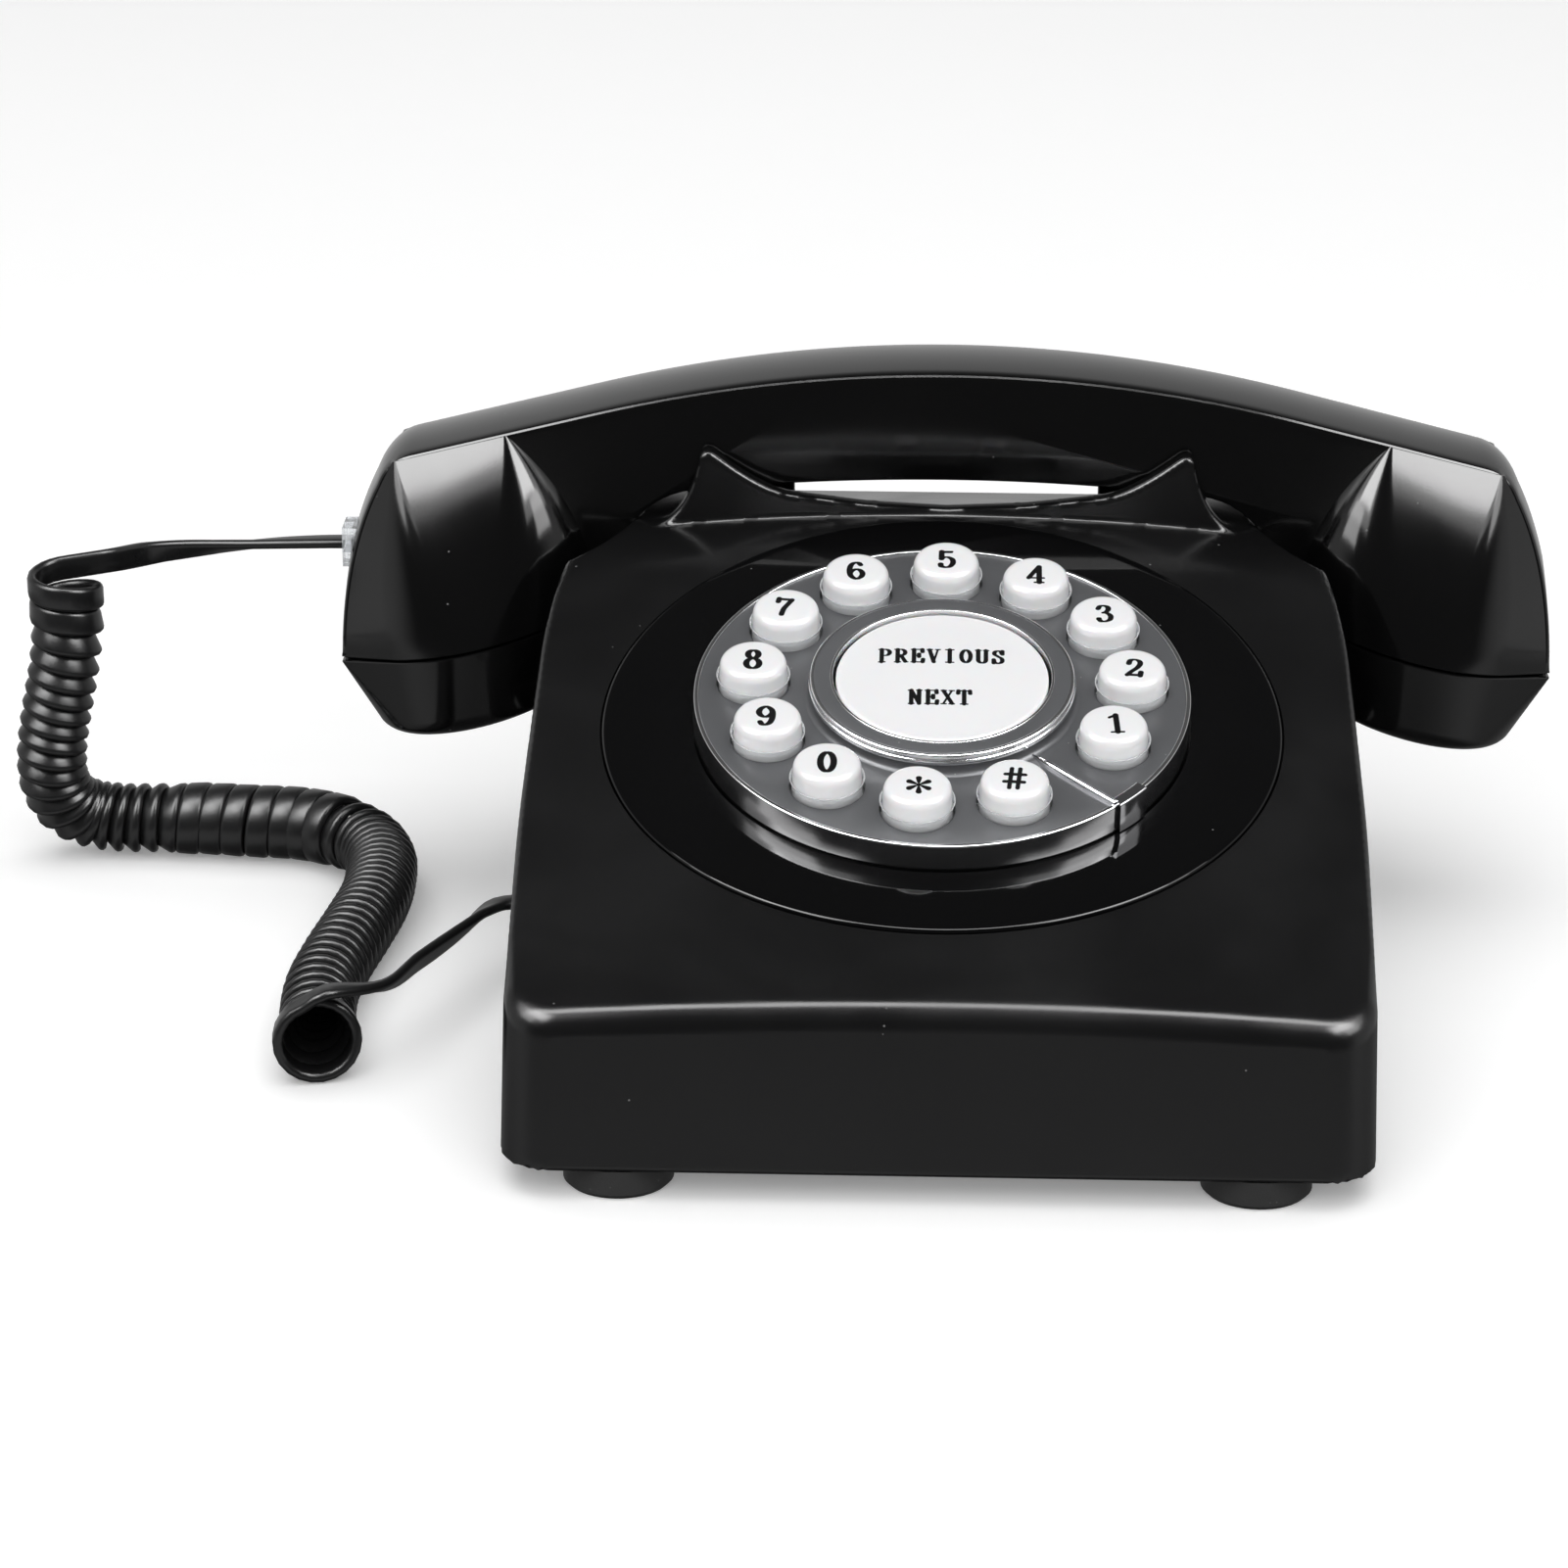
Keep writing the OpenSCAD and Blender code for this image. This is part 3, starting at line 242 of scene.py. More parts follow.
plug_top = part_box("cord_plug_handset")
plug_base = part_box("cord_plug_base")
top_start = [plug_top[0][0] / MM, LEAD_Y, (plug_top[0][2] + plug_top[1][2]) / 2 / MM]
base_end = [plug_base[0][0] / MM, (plug_base[0][1] + plug_base[1][1]) / 2 / MM,
            (plug_base[0][2] + plug_base[1][2]) / 2 / MM]
first_way = unit_way(coil_path[1] - coil_path[0])
last_way = unit_way(coil_path[-1] - coil_path[-2])
top_lead = lead_path([
    top_start, (-117, LEAD_Y, 65.2), (-126, 58.6, 64.6), (-138, 60.5, 63.1), (-149, 62.4, 61.3),
    coil_path[0] - 1.2 * COIL_R * first_way, coil_path[0]])
base_lead = lead_path([
    coil_path[-1], coil_path[-1] + 0.7 * COIL_R * last_way, (-96.2, -36, 14.4), (-91.6, -23, 13.6),
    (-87.7, -12, 13), (-84.7, -4, 12.9), (-82.4, 2, base_end[2]), (-79.5, 6.8, base_end[2]), base_end])
print("leads", len(top_lead), "and", len(base_lead), "stations")


# %% Wide side of the ribbon along its ends
def turned_wide(path, first, last, swell=0.0):
    """Turns the wide side from one direction to another, with an extra tilt in between."""
    t = np.linspace(0, 1, len(path))[:, None]
    share = t * t * (3 - 2 * t)
    tilt = np.array([0, 0, swell]) * np.sin(np.pi * t) ** 2
    return (1 - share) * np.array(first) + share * np.array(last) + tilt


BASE_TILT = 0.9
top_wide = turned_wide(top_lead, (0, 1, 0), coil_wide[0])
base_wide = turned_wide(base_lead, coil_wide[-1], (0, -1, 0), BASE_TILT)
cord_path = np.concatenate([top_lead[:-1], coil_path, base_lead[1:]])
cord_wide = np.concatenate([top_wide[:-1], coil_wide, base_wide[1:]])

# %% Sweep the ribbon's rounded section
SECTION_STEPS = 5


def ribbon_section():
    """A flat oval: straight wide sides and nearly round edges."""
    flat = RIBBON_W / 2 - RIBBON_T / 2
    arc = np.linspace(-np.pi / 2, np.pi / 2, SECTION_STEPS + 1)
    half = [(flat + RIBBON_T / 2 * np.cos(a), RIBBON_T / 2 * np.sin(a)) for a in arc]
    return half + [(-u, -v) for u, v in half]


def skin(n, rows):
    """Four-sided faces between rows of n points each, closed round."""
    return [(i * n + j, i * n + (j + 1) % n, (i + 1) * n + (j + 1) % n, (i + 1) * n + j)
            for i in range(rows - 1) for j in range(n)]


def sweep(path, wide, section):
    """Carries a section along a path, with its first axis kept on the wide side."""
    way = np.gradient(path, axis=0)
    way /= np.linalg.norm(way, axis=1, keepdims=True)
    across = wide - way * (wide * way).sum(axis=1, keepdims=True)
    across /= np.linalg.norm(across, axis=1, keepdims=True)
    thick = np.cross(way, across)
    n = len(section)
    points = np.concatenate([path + u * across + v * thick for u, v in section])
    points = points.reshape(n, len(path), 3).transpose(1, 0, 2).reshape(-1, 3)
    ends = [tuple(range(n)), tuple((len(path) - 1) * n + j for j in reversed(range(n)))]
    return points * MM, skin(n, len(path)) + ends


cord = make_piece("curly_cord", *sweep(cord_path, cord_wide, ribbon_section()), None, "cord_black",
                  ("cord_coil", "cord_lead_base", "cord_lead_handset"))

# %% [markdown]
# ## Moulded shells from a distance rule
# The housing is a moulding: flat and bowed faces that meet in small radii, with cuts for the handset.
# Box modelling would need a bevel at every cut. Here each face is a signed distance, negative
# inside, and a rounded maximum joins two faces with a true radius. A grid finds where the sum is
# zero, one point per cell, and a few Newton steps settle each point exactly on the surface.

# %% Joining two faces with a radius
def round_max(a, b, r):
    return np.minimum(np.maximum(a, b), -r) + np.hypot(np.maximum(a + r, 0), np.maximum(b + r, 0))


def round_min(a, b, r):
    return -round_max(-a, -b, r)


# %% Surface of a distance rule
def net_of_surface(rule, low, high, step):
    """Points and four-sided faces where a distance rule is zero, from a grid of the given step."""
    axes = [np.arange(low[i], high[i] + step, step) for i in range(3)]
    field = np.broadcast_to(rule(*np.ix_(*axes)), [len(a) for a in axes])
    size = np.array(field.shape) - 1
    total, hits, crossings = np.zeros((size.prod(), 3)), np.zeros(size.prod()), []
    for axis in range(3):
        u, v = (axis + 1) % 3, (axis + 2) % 3
        ends = [slice(None)] * 3
        ends[axis] = slice(0, -1)
        a = field[tuple(ends)]
        ends[axis] = slice(1, None)
        b = field[tuple(ends)]
        at = np.argwhere((a < 0) != (b < 0))
        a, b = a[tuple(at.T)], b[tuple(at.T)]
        spot = at.astype(float)
        spot[:, axis] += a / (a - b)
        cells = []
        for du, dv in ((1, 1), (0, 1), (0, 0), (1, 0)):
            cell = at.copy()
            cell[:, u] -= du
            cell[:, v] -= dv
            flat = np.ravel_multi_index(cell.T, size)
            for i in range(3):
                total[:, i] += np.bincount(flat, spot[:, i], len(total))
            hits += np.bincount(flat, minlength=len(hits))
            cells.append(flat)
        quads = np.stack(cells, axis=1)
        crossings.append(np.where((a < 0)[:, None], quads, quads[:, ::-1]))
    used = np.flatnonzero(hits)
    place = np.full(len(hits), -1)
    place[used] = np.arange(len(used))
    points = total[used] / hits[used][:, None] * step + np.array(low)
    return settle(rule, points, step), place[np.concatenate(crossings)]


def settle(rule, points, step, rounds=4, probe=0.02):
    """Newton steps along the slope of the rule."""
    for _ in range(rounds):
        value = rule(*points.T)
        slope = np.stack([(rule(*(points + d).T) - rule(*(points - d).T)) / (2 * probe)
                          for d in np.eye(3) * probe], axis=1)
        size = np.maximum((slope**2).sum(axis=1), 0.05)
        points = points - np.clip(value / size, -step / 2, step / 2)[:, None] * slope
    return points


# %% [markdown]
# ## Housing
# A wedge with a bowed top, cut back to a narrow neck at the rear where the two heads of the
# handset hang. A low wall with two fins runs across in front of the handle, two more fins stand
# behind it, and the channel between them leaves room for fingers. Its floor falls a little to the
# rear.

# %% Outline of one fin, seen from the front
def curve(a, b, c, n):
    """A parabola bent from a to c by b."""
    t = np.linspace(0, 1, n + 1)[:, None]
    return (1 - t) ** 2 * np.array(a) + 2 * t * (1 - t) * np.array(b) + t**2 * np.array(c)


FIN_X = 54.1
FIN_LOW = 73.4
FIN_ROOT = 68
fin_flanks = np.concatenate([
    curve((FIN_X, FIN_LOW), (47, FIN_LOW + 2.5), (45.2, 87.2), 10),
    curve((45.2, 87.2), (44, 89.2), (41.8, 87.2), 5)[1:],
    curve((41.8, 87.2), (33.6, 81), (28.6, 80.2), 10)[1:]])
low_wall = [(14.6, 78.5), (0, 77.8), (-14.6, 77.8), (-14.6, FIN_ROOT)]
FRONT_FIN = np.concatenate([fin_flanks, low_wall, [(FIN_X, FIN_ROOT)]])
REAR_FIN = np.concatenate([fin_flanks, [(28.6, FIN_ROOT), (FIN_X, FIN_ROOT)]])


def outline_distance(x, z, outline):
    """Signed distance to a closed outline, negative inside."""
    x, z = np.broadcast_arrays(x, z)
    nearest = np.full(x.shape, np.inf)
    inside = np.zeros(x.shape, bool)
    for (ax, az), (bx, bz) in zip(outline, np.roll(outline, -1, axis=0)):
        ex, ez = bx - ax, bz - az
        t = np.clip(((x - ax) * ex + (z - az) * ez) / (ex * ex + ez * ez), 0, 1)
        nearest = np.minimum(nearest, (x - ax - t * ex) ** 2 + (z - az - t * ez) ** 2)
        if ez:
            inside ^= ((az > z) != (bz > z)) & (x < ex * (z - az) / ez + ax)
    return np.where(inside, -1, 1) * np.sqrt(nearest)


# %% Faces of the housing
FOOT_Z = 5
FRONT_Y = -92.5
REAR_Y = 92.5
SLOPE = math.radians(17.8)
CROWN_R = 907.8
TOP_Z = 34.0
TOP_FROM = 91.5


def top_height(x, y):
    return TOP_Z - x * x / (2 * CROWN_R) + (y + TOP_FROM) * math.tan(SLOPE)


def ease(t):
    t = np.clip(t, 0, 1)
    return t * t * (3 - 2 * t)


SIDE_X = 72.0
SIDE_BOW = 1.4
SHOULDER_IN = 2.4


def half_width(y):
    """The sides bow out a little behind the front, and draw in again towards the shoulders."""
    return SIDE_X + SIDE_BOW * ease((y + 92) / 60) - SHOULDER_IN * np.clip((y - 2) / 30, 0, 1) ** 2


# %% Walls and top joined with their own radii
SIDE_DRAFT = 0.0292
FRONT_DRAFT = 26.2
REAR_BEND_Z = 41
REAR_LEAN_Y, REAR_LEAN_Z = 0.966, 0.259
FRONT_CORNER_R, REAR_CORNER_R = 9.0, 12.0
SADDLE_TOP, SADDLE_R = 79.04, 330
SADDLE_EDGE_R = 4


def wedge(x, y, z):
    """The plain body: four drafted walls under the sloping top, which the saddle cuts off."""
    side = np.abs(x) - half_width(y) + SIDE_DRAFT * (z - FOOT_Z)
    front = FRONT_Y + (z - FOOT_Z) / FRONT_DRAFT - y
    rear = np.maximum(y - REAR_Y, (y - REAR_Y) * REAR_LEAN_Y + (z - REAR_BEND_Z) * REAR_LEAN_Z)
    corner = np.where(y < 0, FRONT_CORNER_R, REAR_CORNER_R)
    walls = round_max(side, np.where(y < 0, front, rear), corner)
    top = (z - top_height(x, y)) * math.cos(SLOPE)
    saddle = np.hypot(x, z - (SADDLE_TOP - SADDLE_R)) - SADDLE_R
    # The edge is crisp along the sides and softens to 3 mm over the front
    edge = 1.0 + 2.0 * np.clip((-70 - y) / 18, 0, 1)
    return round_max(walls, round_max(top, saddle, SADDLE_EDGE_R), edge)


# %% Recesses for the heads and channel for the fingers
HANDSET_Y = 58.0
NECK_X = 56.0
HEAD_ROOM_X = 86
SHELF_Z = 27
TROUGH = (46.4, 69.6)
CHANNEL_X = 36
CHANNEL_Z = 76.9
CHANNEL_FALL = 0.22


def housing_core(x, y, z):
    wide = np.abs(x)
    round_cut = np.hypot(wide - HEAD_ROOM_X, y - HANDSET_Y) - (HEAD_ROOM_X - NECK_X)
    square_cut = np.maximum(NECK_X - wide, HANDSET_Y - y)
    recess = round_max(SHELF_Z - z, np.minimum(round_cut, square_cut), 2)
    floor = CHANNEL_Z - CHANNEL_FALL * (y - TROUGH[0])
    channel = np.maximum(np.maximum(wide - CHANNEL_X, TROUGH[0] - y), floor - z)
    body = round_max(wedge(x, y, z), -recess, 1.5)
    return round_max(body, -channel, 1.0)


# %% Fins and pads on the body
FIN_T = 4
FIN_EDGE_R = 0.7
FIN_FOOT_R = 0.7
SEAT_X = 43.0
PAD_TOP, PAD_R = 81.6, 430
PAD_HALF_X, PAD_HALF_Y = 5, 12
PAD_EDGE_R = 0.6


def housing_rule(x, y, z):
    """The body with its fins and the pads that the handle rests on, cut off level at the foot."""
    wide = np.abs(x)
    front_slab = np.abs(y - TROUGH[0] + FIN_T / 2) - FIN_T / 2
    rear_slab = np.abs(y - TROUGH[1] - FIN_T / 2) - FIN_T / 2
    fins = np.minimum(round_max(front_slab, outline_distance(wide, z, FRONT_FIN), FIN_EDGE_R),
                      round_max(rear_slab, outline_distance(wide, z, REAR_FIN), FIN_EDGE_R))
    pad = np.maximum(np.abs(wide - SEAT_X) - PAD_HALF_X, np.abs(y - HANDSET_Y) - PAD_HALF_Y)
    pad = round_max(pad, np.hypot(x, z - (PAD_TOP - PAD_R)) - PAD_R, PAD_EDGE_R)
    body = round_min(housing_core(x, y, z), fins, FIN_FOOT_R)
    return np.maximum(round_min(body, pad, PAD_EDGE_R), FOOT_Z - z)


OUTER_STEP = 0.8
housing_points, housing_faces = net_of_surface(housing_rule, (-76, -94, 4), (76, 94, 91), OUTER_STEP)
print("housing net", len(housing_points))

# %% [markdown]
# ### Hollow, openings and plunger holes
# The moulding is a shell: the same rule, moved inwards by the wall and kept clear of the ring that
# carries the dial, gives the space inside. Exact round and square openings are cut afterwards with
# turned and boxed cutters, because a boolean keeps their edges crisp where a grid would blur them.

# %% Turned shapes, boxes and booleans
def turned(profile, steps=96):
    """Revolves (r, z) points about the z axis. A profile that starts off the axis closes on itself."""
    points, rings, faces = [], [], []
    for r, z in profile:
        angles = np.linspace(0, 2 * np.pi, steps if r else 1, endpoint=False)
        rings.append(np.arange(len(angles)) + len(points))
        points += [(r * math.cos(a), r * math.sin(a), z) for a in angles]
    pairs = list(zip(rings, rings[1:]))
    if profile[0][0]:
        pairs.append((rings[-1], rings[0]))
    for a, b in pairs:
        for k in range(steps):
            m = (k + 1) % steps
            quad = [a[k % len(a)], a[m % len(a)], b[m % len(b)], b[k % len(b)]]
            faces.append(list(dict.fromkeys(quad)))
    return np.array(points), faces


def stacked(rings):
    """Skins a stack of rings with the same number of points, and closes both ends."""
    n = len(rings[0])
    ends = [tuple(reversed(range(n))), tuple((len(rings) - 1) * n + j for j in range(n))]
    return np.concatenate(rings), skin(n, len(rings)) + ends


def boxed(low, high):
    points = np.array([[(low, high)[(i >> k) & 1][k] for k in range(3)] for i in range(8)], float)
    return points, [(0, 2, 3, 1), (4, 5, 7, 6), (0, 1, 5, 4), (2, 6, 7, 3), (0, 4, 6, 2), (1, 3, 7, 5)]


def plain_mesh(shape):
    mesh = bpy.data.meshes.new("shape")
    mesh.from_pydata([tuple(p) for p in shape[0]], [], [[int(i) for i in f] for f in shape[1]])
    form = bmesh.new()
    form.from_mesh(mesh)
    bmesh.ops.recalc_face_normals(form, faces=form.faces)
    form.to_mesh(mesh)
    form.free()
    return mesh


def combined(base, *steps):
    """Cuts or joins closed shapes in turn, and returns one mesh, still in millimetres."""
    work = [bpy.data.objects.new("work", plain_mesh(base))]
    for how, shape in steps:
        tool = bpy.data.objects.new("tool", plain_mesh(shape))
        step = work[0].modifiers.new("step", "BOOLEAN")
        step.operation = how
        step.solver = "MANIFOLD"
        step.object = tool
        work.append(tool)
    for item in work:
        bpy.context.scene.collection.objects.link(item)
    bpy.context.view_layer.update()
    graph = bpy.context.evaluated_depsgraph_get()
    mesh = bpy.data.meshes.new_from_object(work[0].evaluated_get(graph))
    for item in work:
        bpy.data.objects.remove(item)
    return mesh


def in_metres(mesh):
    mesh.transform(Matrix.Scale(MM, 4))
    return mesh


# %% The dial's own frame, square to the sloping top
DIAL_X = -0.28
DIAL_Y = FRONT_Y + 76.1
DIAL_Z = top_height(0, DIAL_Y)


def on_dial(shape, spot=(0, 0)):
    x, y, z = (shape[0] + np.array([DIAL_X + spot[0], spot[1], 0])).T
    return np.stack([x, DIAL_Y + y * math.cos(SLOPE) - z * math.sin(SLOPE),
                     DIAL_Z + y * math.sin(SLOPE) + z * math.cos(SLOPE)], axis=1), shape[1]


def crowned(shape):
    """Bends a shape so that it follows the bow of the housing's top."""
    points = shape[0].copy()
    points[:, 2] -= points[:, 0] ** 2 / (2 * CROWN_R)
    return points, shape[1]


# %% Space inside the housing
WALL = 2.5
INNER_STEP = 2.0
PLINTH_R = 59.1
PLINTH_TOP = 0.6
PLINTH_FLOOR = -2.0
SEAT_RING = -6.0


def inner_rule(x, y, z):
    ring_y = (y - DIAL_Y) * math.cos(SLOPE) + (z - DIAL_Z) * math.sin(SLOPE)
    ring_z = (z - DIAL_Z) * math.cos(SLOPE) - (y - DIAL_Y) * math.sin(SLOPE)
    ring = np.maximum(np.hypot(x, ring_y) - PLINTH_R - WALL, SEAT_RING - ring_z)
    shell = np.maximum(housing_core(x, y, z) + WALL, FOOT_Z - 2 - z)
    return np.maximum(shell, -ring)


hollow = net_of_surface(inner_rule, (-74, -93, 1), (74, 93, 84), INNER_STEP)
print("inside net", len(hollow[0]))

# %% Cutters
WELL_R = 43.3
RECESS_R = PLINTH_R + 0.3
PLUNGER_R = 3.2
recess = on_dial(crowned(turned(
    [(r, PLINTH_FLOOR) for r in (0, 12, 24, 36, 48, RECESS_R)] + [(RECESS_R, 12), (0, 12)], 256)))
well = on_dial(turned([(0, -20), (WELL_R, -20), (WELL_R, 12), (0, 12)], 192))
plunger_holes = [turned([(0, 60), (PLUNGER_R, 60), (PLUNGER_R, 95), (0, 95)], 32) for _ in range(2)]
for shape, side in zip(plunger_holes, (-1, 1)):
    shape[0][:] += [side * SEAT_X, HANDSET_Y, 0]


def opening_for(node, margin, outward):
    """A box round a CAD node, grown by a margin and run out through the wall."""
    low, high = [np.array(corner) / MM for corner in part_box(node)]
    low, high = low - margin, high + margin
    return boxed(np.minimum(low, low + outward), np.maximum(high, high + outward))


JACK_ROOM = 0.3
jack_opening = opening_for("handset_jack", JACK_ROOM, (-6, 0, 0))
line_opening = opening_for("line_jack", JACK_ROOM, (0, 6, 0))
cutters = [hollow, recess, well, *plunger_holes, jack_opening, line_opening]
cuts = [("DIFFERENCE", cutter) for cutter in cutters]
housing_mesh = combined((housing_points, housing_faces), *cuts)
dress_piece("housing_shell", in_metres(housing_mesh), "base", "housing_black", ["upper_housing"], 50)

# %% [markdown]
# ## Dial
# The dial sits on a glossy plinth. A chrome ring holds a grey metallic plate with twelve keys, and a
# raised hub in the middle surrounds a domed white rocker. Everything round is turned from a short
# profile, because a lathe gives clean highlights and its edges can be rounded point by point.

# %% Rounded corners for profiles
def rounded(corners, n=4):
    """Replaces each (r, z, radius) corner of a closed or open profile by a small arc."""
    out = []
    for i, (r, z, soft) in enumerate(corners):
        here = np.array([r, z], float)
        if not soft:
            out.append(tuple(here))
            continue
        before = np.array(corners[i - 1][:2], float) - here
        after = np.array(corners[(i + 1) % len(corners)][:2], float) - here
        before, after = before / np.linalg.norm(before), after / np.linalg.norm(after)
        for t in np.linspace(0, 1, n + 1):
            bend = (1 - t) ** 2 * before * soft + t**2 * after * soft
            out.append(tuple(here + bend))
    return out


# %% Plinth, ring and plate
PLATE_Z = 5.2
PLATE_R = 42.15
RING_R = 43.0
RING_TOP = PLATE_Z + 0.25
CUP_WALL_R = 40.9
CUP_FOOT = -7.6
PLATE_LOW = PLATE_Z - 1.6
PLINTH_LOW = PLINTH_FLOOR + 0.02
# Points between the edges let the plinth follow the bow of the housing's top
plinth_profile = (
    rounded([(WELL_R, PLINTH_LOW, 0), (WELL_R, PLINTH_TOP, 0.3)])
    + [(r, PLINTH_TOP) for r in (45, 47, 49, 51, 53, 55, 57)]
    + rounded([(57, PLINTH_TOP, 0), (PLINTH_R, PLINTH_TOP, 0.7), (PLINTH_R, PLINTH_LOW, 0)])[1:]
    + [(r, PLINTH_LOW) for r in (55, 51, 47)])


def dial_piece(name, shape, body, slot, replaces=(), sharp=40):
    return make_piece(name, shape[0] * MM, shape[1], body, slot, replaces, sharp)


plinth = on_dial(crowned(turned(plinth_profile, 256)))
dial_piece("plinth", plinth, "base", "plinth_gloss", ["dial_plinth"])
ring_profile = rounded([(RING_R, RING_TOP, 0.3), (PLATE_R, RING_TOP, 0.2), (PLATE_R, PLATE_LOW, 0),
                        (CUP_WALL_R, PLATE_LOW, 0), (CUP_WALL_R, CUP_FOOT, 0), (48, CUP_FOOT, 0),
                        (48, SEAT_RING, 0), (RING_R, SEAT_RING, 0), (RING_R, PLINTH_TOP + 0.5, 0)])
dial_piece("chrome_ring", on_dial(turned(ring_profile, 256)), "base", "chrome", ["dial_ring"], 50)

# %% Key places
KEY_NAMES = ["1", "2", "3", "4", "5", "6", "7", "8", "9", "0", "star", "hash"]
KEY_CIRCLE_R = 32.8
FIRST_KEY = -26.8
KEY_PITCH = 29
KEY_TURN = [math.radians(FIRST_KEY + KEY_PITCH * i) for i in range(len(KEY_NAMES))]
KEY_SPOTS = [(KEY_CIRCLE_R * math.cos(a), KEY_CIRCLE_R * math.sin(a)) for a in KEY_TURN]
HUB_Z = PLATE_Z + 3.8
HUB_R = 22.3
HUB_BORE = 19.4
print("keys on a circle of", KEY_CIRCLE_R, "mm")

# %% Plate with twelve countersunk holes, and the hub
HOLE_R = 6.3
SINK_R = HOLE_R + 0.2
DISC_R = PLATE_R - 0.02
hole = turned([(0, 0), (HOLE_R, 0), (HOLE_R, PLATE_Z - 0.25), (SINK_R, PLATE_Z + 0.1),
               (SINK_R, 9), (0, 9)], 72)
disc_edge = rounded([(DISC_R, PLATE_LOW, 0), (DISC_R, PLATE_Z, 0.12), (HUB_BORE, PLATE_Z, 0)], 2)[1:-1]
disc = turned([(r, PLATE_LOW) for r in (HUB_BORE, 30, DISC_R)] + disc_edge
              + [(r, PLATE_Z) for r in (38, 32, 26, HUB_BORE)], 256)
holes = [("DIFFERENCE", (hole[0] + [x, y, 0], hole[1])) for x, y in KEY_SPOTS]
plate_mesh = combined(disc, *holes)
TRIM_LOW = HUB_Z - 1.9
hub_foot = curve((HUB_R + 1.6, PLATE_Z), (HUB_R + 0.55, PLATE_Z + 0.1), (HUB_R + 0.45, TRIM_LOW), 6)
hub = turned([(HUB_BORE, 0.6), (HUB_R, 0.6), (HUB_R + 1.6, PLATE_Z - 0.1)]
             + [tuple(p) for p in hub_foot]
             + rounded([(HUB_R, TRIM_LOW, 0), (HUB_R, HUB_Z, 0.35), (HUB_BORE, HUB_Z, 0.2)])[:-1]
             + [(HUB_BORE, HUB_Z - 0.2)], 192)
flat_points = np.array([v.co for v in plate_mesh.vertices])
for vertex, spot in zip(plate_mesh.vertices, on_dial((flat_points, None))[0]):
    vertex.co = spot
dress_piece("dial_face", in_metres(plate_mesh), "base", "plate_grey", ["dial_plate"], 30)
dial_piece("hub", on_dial(hub), "base", "plate_grey", [])
# Two beads with a groove between them
TRIM_TOP = HUB_Z + 0.03
trim = turned(rounded([
    (HUB_R, TRIM_LOW, 0), (HUB_R + 0.8, TRIM_LOW, 0.15), (HUB_R + 0.85, TRIM_LOW + 0.75, 0.25),
    (HUB_R + 0.5, TRIM_LOW + 0.95, 0.1), (HUB_R + 0.72, TRIM_LOW + 1.15, 0.15),
    (HUB_R + 0.5, TRIM_TOP, 0.3), (HUB_R - 0.05, TRIM_TOP, 0)]), 192)
dial_piece("hub_edge", on_dial(trim), "base", "chrome", ["hub_trim"])
BEZEL_R = HUB_BORE - 0.5
BEZEL_TOP = HUB_Z + 0.15
bezel = turned(rounded([(BEZEL_R, HUB_Z - 1, 0), (HUB_BORE, HUB_Z - 1, 0), (HUB_BORE, BEZEL_TOP, 0.15),
                        (BEZEL_R, BEZEL_TOP, 0.15)]), 192)
dial_piece("centre_bezel", on_dial(bezel), "base", "chrome", ["button_bezel"])

# %% [markdown]
# ### Finger stop
# The stop is a thin blade in the plate's colour. A bright rib runs along its front edge, and a bright
# clip folds over the ring's rim and down its wall.

# %% Blade of the finger stop
STOP_FROM, STOP_TO = math.radians(-46.2), math.radians(-37.5)
BLADE_RISE = 0.3
BLADE_R = 41.6


def polar(r, angle, z):
    return [r * math.cos(angle), r * math.sin(angle), z]


blade_rim = [polar(BLADE_R, a, 0) for a in np.linspace(STOP_FROM, STOP_TO, 9)]
blade_edge = np.array([polar(23.8, STOP_FROM - 0.03, 0), *blade_rim, polar(27.8, STOP_TO - 0.052, 0)])
blade_middle = blade_edge.mean(axis=0)
blade = stacked([blade_middle + (blade_edge - blade_middle) * grow + [0, 0, PLATE_Z + z]
                 for grow, z in ((1, 0), (1, BLADE_RISE - 0.15), (0.985, BLADE_RISE))])
dial_piece("stop_blade", on_dial(blade), "base", "plate_grey", [], 20)

# %% Bright rib along the blade's front edge: it starts as a point and runs out to the rim
RIB_FROM, RIB_TO = 23.4, 42.6
RIB_HALF_W = 0.62
RIB_RISE = 0.85
rib_rings = []
across = np.array([-math.sin(STOP_FROM), math.cos(STOP_FROM), 0])
for t in np.linspace(0, 1, 24):
    r = RIB_FROM + (RIB_TO - RIB_FROM) * t
    spot = np.array(polar(r, STOP_FROM - 0.035 * (1 - t), PLATE_Z + 0.1))
    size = min(1.0, 0.35 + 3 * t)
    rib_rings.append(np.array([
        spot + across * size * RIB_HALF_W * math.cos(a)
        + [0, 0, size * RIB_RISE * max(math.sin(a), -0.1)]
        for a in np.linspace(0, 2 * math.pi, 24, endpoint=False)]))
dial_piece("stop_rib", on_dial(stacked(rib_rings)), "base", "stop_chrome", [], 50)

